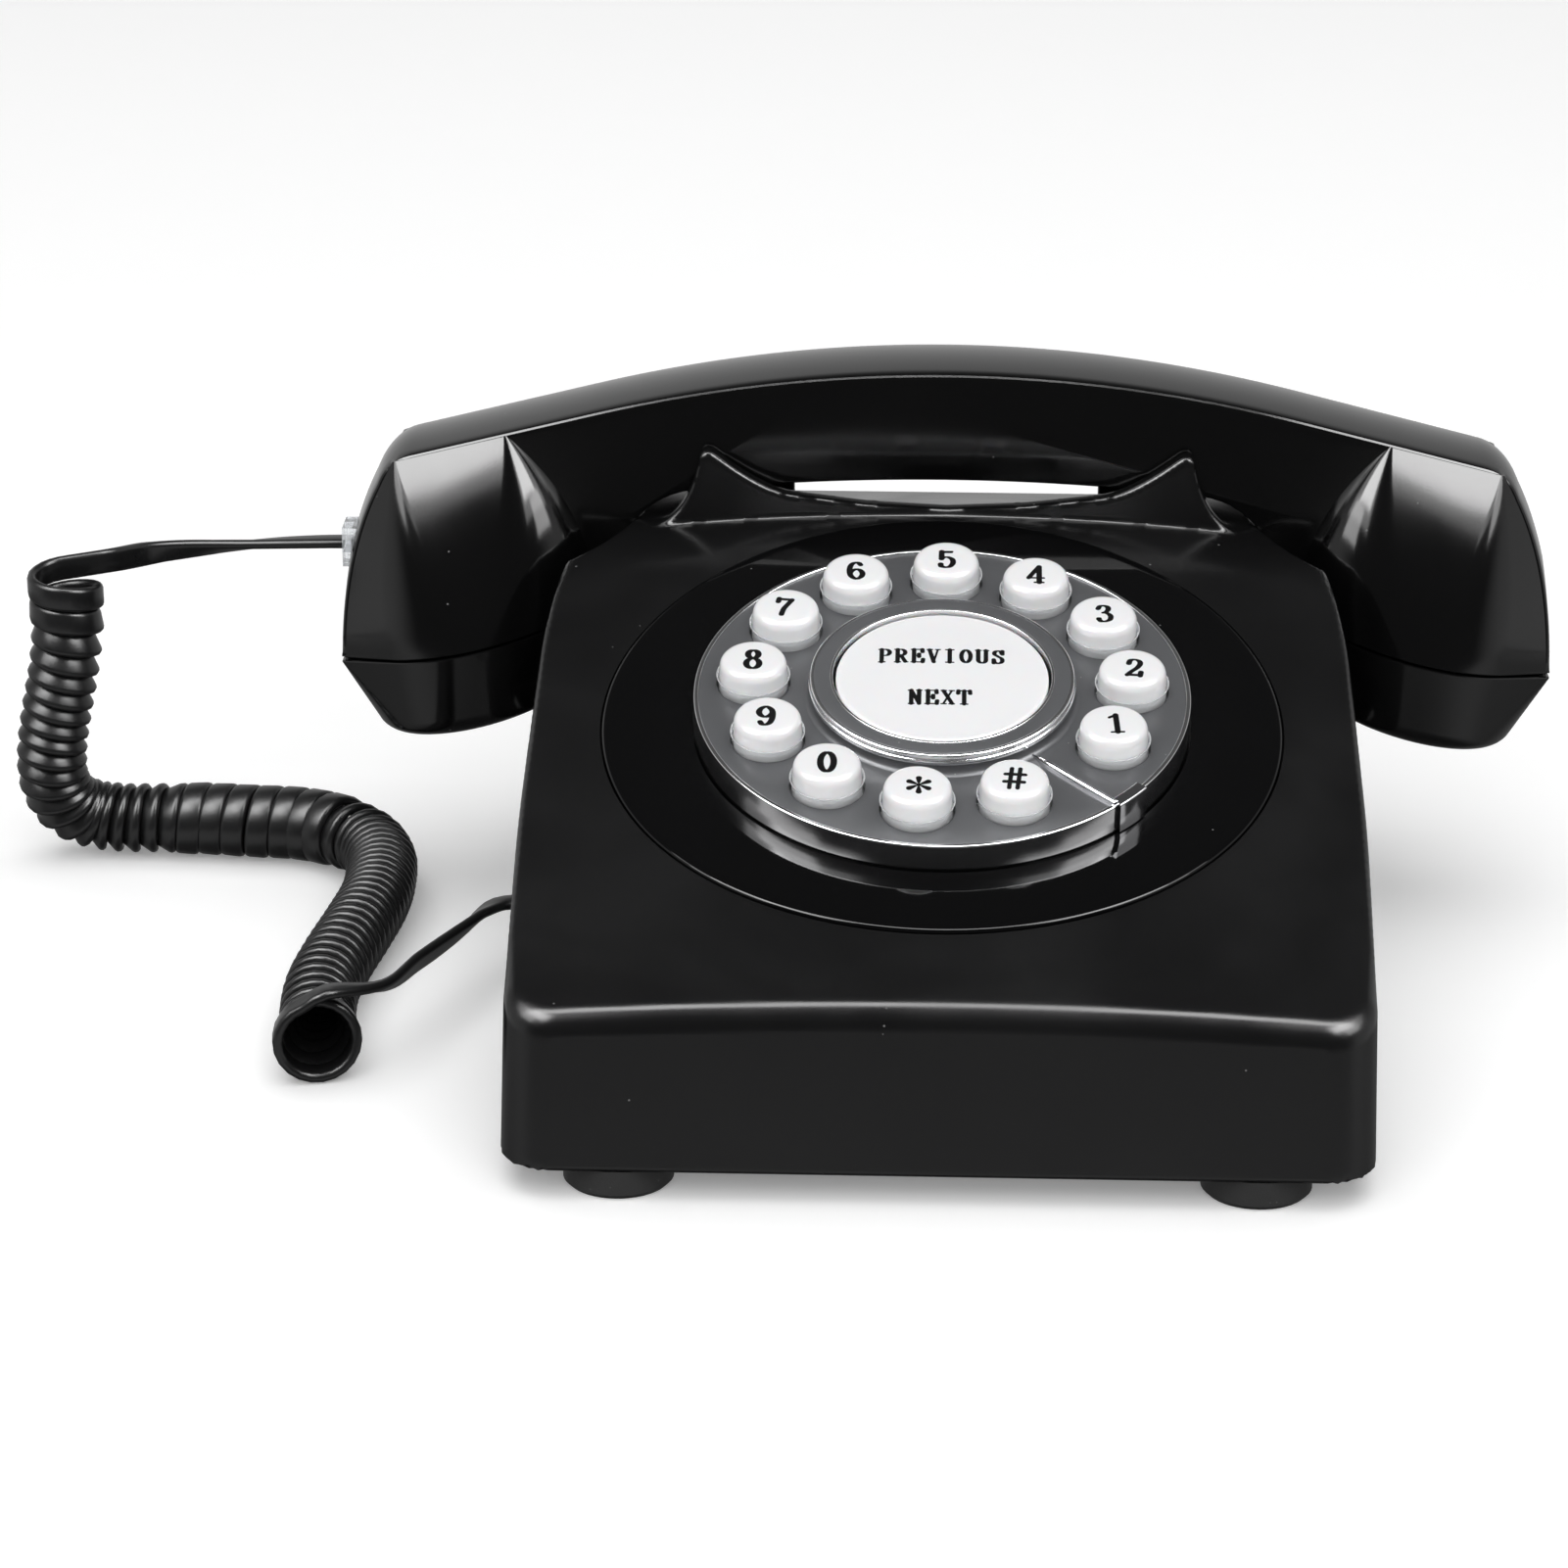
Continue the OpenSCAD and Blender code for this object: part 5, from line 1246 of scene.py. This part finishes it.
def printed(name, height, spot, surface):
    """The figure as a thin closed print, in the dial's frame, with its middle at the spot."""
    rule = figure_rule(name)

    def ink(x, y, z):
        return np.maximum(rule(x / height, y / height) * height, np.abs(z) - PRINT_HALF_T)
    low = (-0.25 * height, -0.12 * height, -PRINT_NET_Z)
    high = (0.87 * height, 1.12 * height, PRINT_NET_Z)
    points, faces = net_of_surface(ink, low, high, PRINT_STEP)
    points = points - [MID_X * height, MID_Y * height, 0] + [spot[0], spot[1], 0]
    # The slab is squeezed to the ink's thickness and sunk a little into the key, so no gap shows
    lift = (points[:, 2] / PRINT_HALF_T + 0.6) * INK / 1.6
    points[:, 2] = surface(points[:, 0], points[:, 1]) + lift
    return points, faces


# %% Figures on the keys
FIGURE_H = 5.0
FIGURE_UP = -0.45
SIZE_OF = {"8": 1.12, "9": 1.09, "0": 1.14, "hash": 1.18, "6": 1.05, "5": 1.04}
ACROSS_OF = {"1": 0.25, "2": 0.25, "7": -0.3, "9": -0.3, "star": 0.2}
# Each cap sits a few degrees turned in its cup
TILT_OF = {"1": 4, "2": -4, "3": 3, "5": 2, "6": 3, "7": -6, "hash": -3}
for name, spot in zip(KEY_NAMES, KEY_SPOTS):
    points, faces = printed(name, FIGURE_H * SIZE_OF.get(name, 1), (ACROSS_OF.get(name, 0), FIGURE_UP),
                            lambda x, y: key_top(np.hypot(x, y)))
    turn = math.radians(TILT_OF.get(name, 0))
    x, y, z = points.T
    points = np.stack([x * math.cos(turn) - y * math.sin(turn),
                       x * math.sin(turn) + y * math.cos(turn), z], axis=1)
    figure = on_dial((points, faces), spot)
    dial_piece(f"figure_{name}", figure, f"key_{name}_unit", "housing_black", [], 30)

# %% Words on the rocker
LETTER_H = 3.95
LETTER_PITCH = 2.8
for word, across, height_up in (("PREVIOUS", -0.15, 5.6), ("NEXT", -0.4, -6.3)):
    shapes, total = [], 0
    for i, letter in enumerate(word):
        spot = (across + (i - (len(word) - 1) / 2) * LETTER_PITCH, height_up)
        points, faces = printed(letter, LETTER_H, spot, lambda x, y: rocker_top(np.hypot(x, y)))
        shapes.append((points, np.array(faces) + total))
        total += len(points)
    both = np.concatenate([s[0] for s in shapes]), np.concatenate([s[1] for s in shapes])
    dial_piece(f"word_{word.lower()}", on_dial(both), "centre_rocker", "housing_black", [], 30)

# %% [markdown]
# ## Finishes
# Every finish is a Principled shader fed by small node groups. One group makes moulded grain, one
# scatters dust specks, and one spreads slow blotches of roughness, as fingers leave on gloss. The
# groups only put out values that vary over the surface, and each material mixes them its own way.

# %% Node group helpers
def group_tree(name, inputs, outputs):
    tree = bpy.data.node_groups.new(name, "ShaderNodeTree")
    for label, kind, value in inputs:
        socket = tree.interface.new_socket(label, in_out="INPUT", socket_type=kind)
        if value is not None:
            socket.default_value = value
    for label, kind in outputs:
        tree.interface.new_socket(label, in_out="OUTPUT", socket_type=kind)
    return tree, tree.nodes.new("NodeGroupInput"), tree.nodes.new("NodeGroupOutput")


def node(tree, kind, inputs=(), **settings):
    made = tree.nodes.new(kind)
    for key, value in settings.items():
        setattr(made, key, value)
    for key, value in dict(inputs).items():
        if isinstance(value, bpy.types.NodeSocket):
            tree.links.new(value, made.inputs[key])
        else:
            made.inputs[key].default_value = value
    return made


# %% Grain group
grain_tree, grain_in, grain_out = group_tree(
    "moulded_grain", [("Scale", "NodeSocketFloat", 2500.0)],
    [("Height", "NodeSocketFloat"), ("Tone", "NodeSocketFloat")])
place = node(grain_tree, "ShaderNodeTexCoord")
fine = node(grain_tree, "ShaderNodeTexNoise", {
    "Vector": place.outputs["Object"], "Scale": grain_in.outputs["Scale"],
    "Detail": 3.0, "Roughness": 0.6})
wide = node(grain_tree, "ShaderNodeTexNoise", {
    "Vector": place.outputs["Object"], "Scale": 60.0, "Detail": 4.0})
grain_tree.links.new(fine.outputs["Fac"], grain_out.inputs["Height"])
grain_tree.links.new(wide.outputs["Fac"], grain_out.inputs["Tone"])

# %% Dust group
dust_tree, dust_in, dust_out = group_tree(
    "dust_specks", [("Scale", "NodeSocketFloat", 400.0), ("Size", "NodeSocketFloat", 0.1)],
    [("Mask", "NodeSocketFloat")])
place = node(dust_tree, "ShaderNodeTexCoord")
cells = node(dust_tree, "ShaderNodeTexVoronoi", {
    "Vector": place.outputs["Object"], "Scale": dust_in.outputs["Scale"]})
speck = node(dust_tree, "ShaderNodeMath", {0: cells.outputs["Distance"], 1: dust_in.outputs["Size"]},
             operation="LESS_THAN")
# Only about one cell in five holds a speck
SPECK_RARITY = 0.82
chance = node(dust_tree, "ShaderNodeSeparateColor", {"Color": cells.outputs["Color"]})
few = node(dust_tree, "ShaderNodeMath", {0: chance.outputs["Red"], 1: SPECK_RARITY},
           operation="GREATER_THAN")
both = node(dust_tree, "ShaderNodeMath", {0: speck.outputs[0], 1: few.outputs[0]},
            operation="MULTIPLY")
dust_tree.links.new(both.outputs[0], dust_out.inputs["Mask"])

# %% Smear group
smear_tree, smear_in, smear_out = group_tree(
    "touch_smears", [("Scale", "NodeSocketFloat", 30.0), ("Low", "NodeSocketFloat", 0.1),
                     ("High", "NodeSocketFloat", 0.2)],
    [("Roughness", "NodeSocketFloat")])
place = node(smear_tree, "ShaderNodeTexCoord")
cloud = node(smear_tree, "ShaderNodeTexNoise", {
    "Vector": place.outputs["Object"], "Scale": smear_in.outputs["Scale"],
    "Detail": 5.0, "Distortion": 0.6})
spread = node(smear_tree, "ShaderNodeMapRange", {
    "Value": cloud.outputs["Fac"], "From Min": 0.35, "From Max": 0.65,
    "To Min": smear_in.outputs["Low"], "To Max": smear_in.outputs["High"]})
smear_tree.links.new(spread.outputs["Result"], smear_out.inputs["Roughness"])
print("node groups", [g.name for g in bpy.data.node_groups])


# %% One recipe for all finishes
BUMP_DEPTH = 0.1 * MM


def finish_of(name, colour, rough, tone=0.15, grain=(2500.0, 0.0), dust=None, smear=30.0, sockets=()):
    """A material with grain bump, slightly varied colour, smeared roughness and optional dust.

    rough is its lowest and highest roughness, grain is scale and strength of the bump, and dust is
    scale, size and grey of the specks.
    """
    material = bpy.data.materials.new(name)
    material.use_nodes = True
    tree = material.node_tree
    shader = tree.nodes["Principled BSDF"]
    for label, value in dict(sockets).items():
        shader.inputs[label].default_value = value
    grains = node(tree, "ShaderNodeGroup", node_tree=grain_tree)
    grains.inputs["Scale"].default_value = grain[0]
    light, dark = [[c * k for c in colour] + [1.0] for k in (1 + tone, 1 - tone)]
    shade = node(tree, "ShaderNodeMix", {"Factor": grains.outputs["Tone"]}, data_type="RGBA")
    shade.inputs[6].default_value = dark
    shade.inputs[7].default_value = light
    base = shade.outputs[2]
    smears = node(tree, "ShaderNodeGroup", node_tree=smear_tree)
    for label, value in (("Scale", smear), ("Low", rough[0]), ("High", rough[1])):
        smears.inputs[label].default_value = value
    roughness = smears.outputs["Roughness"]
    if dust:
        specks = node(tree, "ShaderNodeGroup", node_tree=dust_tree)
        specks.inputs["Scale"].default_value = dust[0]
        specks.inputs["Size"].default_value = dust[1]
        mask = specks.outputs["Mask"]
        dusty = node(tree, "ShaderNodeMix", {"Factor": mask, 6: base}, data_type="RGBA")
        dusty.inputs[7].default_value = (dust[2], dust[2], dust[2], 1)
        base = dusty.outputs[2]
        rougher = node(tree, "ShaderNodeMath", {0: mask, 1: roughness}, operation="MAXIMUM")
        roughness = rougher.outputs[0]
    tree.links.new(base, shader.inputs["Base Color"])
    tree.links.new(roughness, shader.inputs["Roughness"])
    if grain[1]:
        bump = node(tree, "ShaderNodeBump", {
            "Height": grains.outputs["Height"], "Strength": grain[1], "Distance": BUMP_DEPTH})
        tree.links.new(bump.outputs["Normal"], shader.inputs["Normal"])
    return material


# %% [markdown]
# ### Plastics
# Black glossy plastic is almost only reflection, so its roughness decides how it looks: the
# handset is polished, the housing is satin with a fine grain, and the base and feet are matt.

# %% Black plastics
FINISH = {
    "housing_black": finish_of("satin_black_shell", (0.004, 0.004, 0.0042), (0.20, 0.27),
                               grain=(3200.0, 0.06), dust=(240.0, 0.045, 0.10), sockets={"IOR": 1.46}),
    "base_black": finish_of("matt_black_base", (0.02, 0.02, 0.021), (0.45, 0.6), grain=(1800.0, 0.3)),
    "plinth_gloss": finish_of("mirror_black_plinth", (0.0025, 0.0025, 0.0027), (0.03, 0.06),
                              dust=(260.0, 0.04, 0.16),
                              sockets={"IOR": 1.5, "Specular IOR Level": 0.3}),
    "handset_gloss": finish_of("polished_black_handset", (0.002, 0.002, 0.0021), (0.10, 0.15),
                               grain=(2600.0, 0.03), dust=(220.0, 0.04, 0.14), sockets={"IOR": 1.5}),
    "hook_black": finish_of("black_hook_bar", (0.02, 0.02, 0.02), (0.3, 0.4), grain=(2000.0, 0.2)),
    "jack_black": finish_of("black_jack", (0.015, 0.015, 0.015), (0.3, 0.42), grain=(2400.0, 0.2)),
    "switch_black": finish_of("black_switch", (0.03, 0.03, 0.03), (0.35, 0.5), grain=(2400.0, 0.1)),
    "foot_rubber": finish_of("black_foot_rubber", (0.012, 0.012, 0.012), (0.5, 0.65),
                             grain=(1500.0, 0.5), dust=(900.0, 0.15, 0.06)),
    "cord_black": finish_of("cord_vinyl", (0.006, 0.006, 0.0063), (0.26, 0.36), grain=(1500.0, 0.12),
                            sockets={"IOR": 1.48}),
}

# %% White and clear plastics
FINISH.update({
    "key_white": finish_of("glossy_white_keys", (0.84, 0.84, 0.85), (0.16, 0.24), tone=0.02,
                           sockets={"Coat Weight": 0.3, "Coat Roughness": 0.08,
                                    "Subsurface Weight": 0.15, "Subsurface Scale": 0.001}),
    "skirt_clear": finish_of("frosted_cup", (0.90, 0.91, 0.92), (0.06, 0.12), tone=0.02,
                             sockets={"Transmission Weight": 0.5, "IOR": 1.46}),
    "plug_clear": finish_of("clear_plug", (0.82, 0.84, 0.86), (0.05, 0.14), tone=0.04,
                            sockets={"Transmission Weight": 0.85, "IOR": 1.5}),
    "silicone": finish_of("pale_silicone", (0.7, 0.7, 0.71), (0.5, 0.6), tone=0.05,
                          grain=(1500.0, 0.2)),
})

# %% [markdown]
# ### Metals
# The ring is bright chrome. The dial face is grey satin metal: a fine grain breaks its reflection
# so that it stays an even grey from every side.

# %% Metals and inner parts
METAL = {"Metallic": 1.0}
FINISH.update({
    "chrome": finish_of("bright_chrome", (0.86, 0.86, 0.87), (0.13, 0.2), tone=0.03, sockets=METAL),
    "stop_chrome": finish_of("chrome_finger_stop", (0.74, 0.74, 0.76), (0.07, 0.13), tone=0.03,
                             sockets=METAL),
    "plate_grey": finish_of("satin_grey_dial", (0.095, 0.097, 0.102), (0.30, 0.38), tone=0.06,
                            grain=(5200.0, 0.1), dust=(420.0, 0.06, 0.3), sockets={"Metallic": 0.35}),
    "screw_steel": finish_of("zinc_screws", (0.5, 0.5, 0.52), (0.25, 0.4), sockets=METAL),
    "ballast_steel": finish_of("plain_steel", (0.35, 0.35, 0.36), (0.35, 0.5), grain=(900.0, 0.2),
                               sockets=METAL),
    "capsule_steel": finish_of("pressed_steel", (0.45, 0.45, 0.46), (0.3, 0.45), sockets=METAL),
    "speaker_black": finish_of("painted_speaker", (0.03, 0.03, 0.03), (0.4, 0.55),
                               grain=(1500.0, 0.3)),
    "board_green": finish_of("green_board", (0.02, 0.12, 0.05), (0.35, 0.45), tone=0.3,
                             grain=(700.0, 0.2)),
})
print("finishes", len(FINISH))

# %% Give every piece its finish
SLOT_OF = {item["node"]: item["material_slot"] for item in record["subparts"]}
for name, part in frame["nodes"].items():
    part.data.materials.clear()
    part.data.materials.append(FINISH[SLOT_OF[name]])
dressed = [piece for piece in bpy.data.objects if piece.type == "MESH" and piece.get("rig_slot")]
for piece in dressed:
    piece.data.materials.clear()
    piece.data.materials.append(FINISH[piece["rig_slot"]])
print("finished", len(frame["nodes"]), "nodes and", len(dressed), "pieces")

# %% [markdown]
# ## Stage and light
# A pale floor runs to a white surround. Soft boxes stand left and right with a dark gap between
# them, which draws the bright bands on the heads, and a strip hangs overhead. Each side box has a
# brighter core and a wing, so that a band fades out instead of ending in a hard edge.

# %% Floor
FLOOR_HALF = 6
floor = plain_mesh(boxed((-FLOOR_HALF, -FLOOR_HALF, -0.02), (FLOOR_HALF, FLOOR_HALF, 0.0)))
stage_floor = bpy.data.objects.new("floor", floor)
bpy.context.scene.collection.objects.link(stage_floor)
# A little light of its own keeps the paper white all over
PAPER_GLOW = 0.19
paper = finish_of("pale_floor", (0.93, 0.93, 0.93), (0.85, 0.95), tone=0.01, grain=(300.0, 0.05),
                  sockets={"Specular IOR Level": 0.0, "Emission Color": (1, 1, 1, 1),
                           "Emission Strength": PAPER_GLOW})
stage_floor.data.materials.append(paper)
stage_floor.visible_glossy = False
bpy.context.scene.view_settings.view_transform = "Standard"
print("floor", 2 * FLOOR_HALF, "m wide")

# %% Surround: white to the eye, and in reflections bright low behind and dark overhead
world = bpy.data.worlds.new("surround")
bpy.context.scene.world = world
world.use_nodes = True
tree = world.node_tree
tree.nodes.clear()
ray = node(tree, "ShaderNodeLightPath")
direction = node(tree, "ShaderNodeTexCoord").outputs["Generated"]
facing = node(tree, "ShaderNodeSeparateXYZ", {"Vector": direction})


def ramp(value, start, end, low, high):
    """A smooth step from low to high as a value goes from start to end."""
    step = node(tree, "ShaderNodeMapRange", {
        "Value": value, "From Min": start, "From Max": end, "To Min": low, "To Max": high},
        interpolation_type="SMOOTHSTEP")
    return step.outputs["Result"]


def blend_of(share, first, second):
    return node(tree, "ShaderNodeMix", {0: share, 2: first, 3: second}).outputs[0]


# Brightness by direction: x to the right, y to the rear, z up, each from -1 to 1
DARK = 0.07
to_right, to_rear, upwards = [facing.outputs[axis] for axis in "XYZ"]
sideways = node(tree, "ShaderNodeMath", {0: to_right}, operation="ABSOLUTE").outputs[0]
behind = ramp(to_right, -0.5, 0.5, 0.66, 0.5)
around = blend_of(ramp(sideways, 0.75, 0.97, 0, 1), ramp(to_rear, 0.1, 0.7, DARK, behind), 0.6)
under = ramp(to_rear, -0.6, 0.3, 0.6, 0.15)
below = blend_of(ramp(upwards, -0.9, -0.74, 1, 0), under, 0.06)
level_part = blend_of(ramp(upwards, -0.345, -0.285, 1, 0), around, below)
glow = blend_of(ramp(upwards, 0.5, 0.72, 0, 1), level_part, DARK)
seen = node(tree, "ShaderNodeBackground", {"Color": (1, 1, 1, 1), "Strength": 1.0})
mirrored = node(tree, "ShaderNodeBackground", {"Color": (1, 1, 1, 1), "Strength": glow})
mix = node(tree, "ShaderNodeMixShader", {
    0: ray.outputs["Is Camera Ray"], 1: mirrored.outputs[0], 2: seen.outputs[0]})
node(tree, "ShaderNodeOutputWorld", {"Surface": mix.outputs[0]})
print("surround", len(tree.nodes), "nodes")


# %% Soft boxes: most show only in gloss, and two broad ones light the whites
LIT_SPOT = Vector((0, 0.02, 0.07))


def soft_box(name, spot, size, radiance, in_gloss):
    """An area light that faces the telephone, seen by gloss alone or by matt surfaces alone."""
    light = bpy.data.lights.new(name, "AREA")
    light.shape = "RECTANGLE"
    light.size, light.size_y = size
    light.energy = radiance * math.pi * size[0] * size[1]
    lamp = bpy.data.objects.new(name, light)
    way = LIT_SPOT - Vector(spot)
    lamp.matrix_world = Matrix.Translation(spot) @ way.to_track_quat("-Z", "Y").to_matrix().to_4x4()
    lamp.visible_camera = False
    lamp.visible_glossy = in_gloss
    lamp.visible_diffuse = not in_gloss
    bpy.context.scene.collection.objects.link(lamp)


for side, label in ((-1, "left"), (1, "right")):
    soft_box(f"{label}_box", (side * 0.61, -0.36, 0.73), (0.82, 0.44), 3, True)
    soft_box(f"{label}_core", (side * 0.50, -0.36, 0.755), (0.50, 0.33), 13, True)
    soft_box(f"{label}_wing", (side * 0.80, -0.39, 0.55), (0.45, 0.28), 6, True)
soft_box("strip_above", (0, -0.2, 1.05), (1.2, 0.32), 12, True)
soft_box("broad_above", (0, 0, 2.2), (3.0, 3.0), 1.6, False)
soft_box("broad_front", (0, -1.4, 0.9), (2.2, 1.2), 2.2, False)
print("lights", len(bpy.data.lights))

# %% [markdown]
# ## End

# %% Finish
print("boxes written")
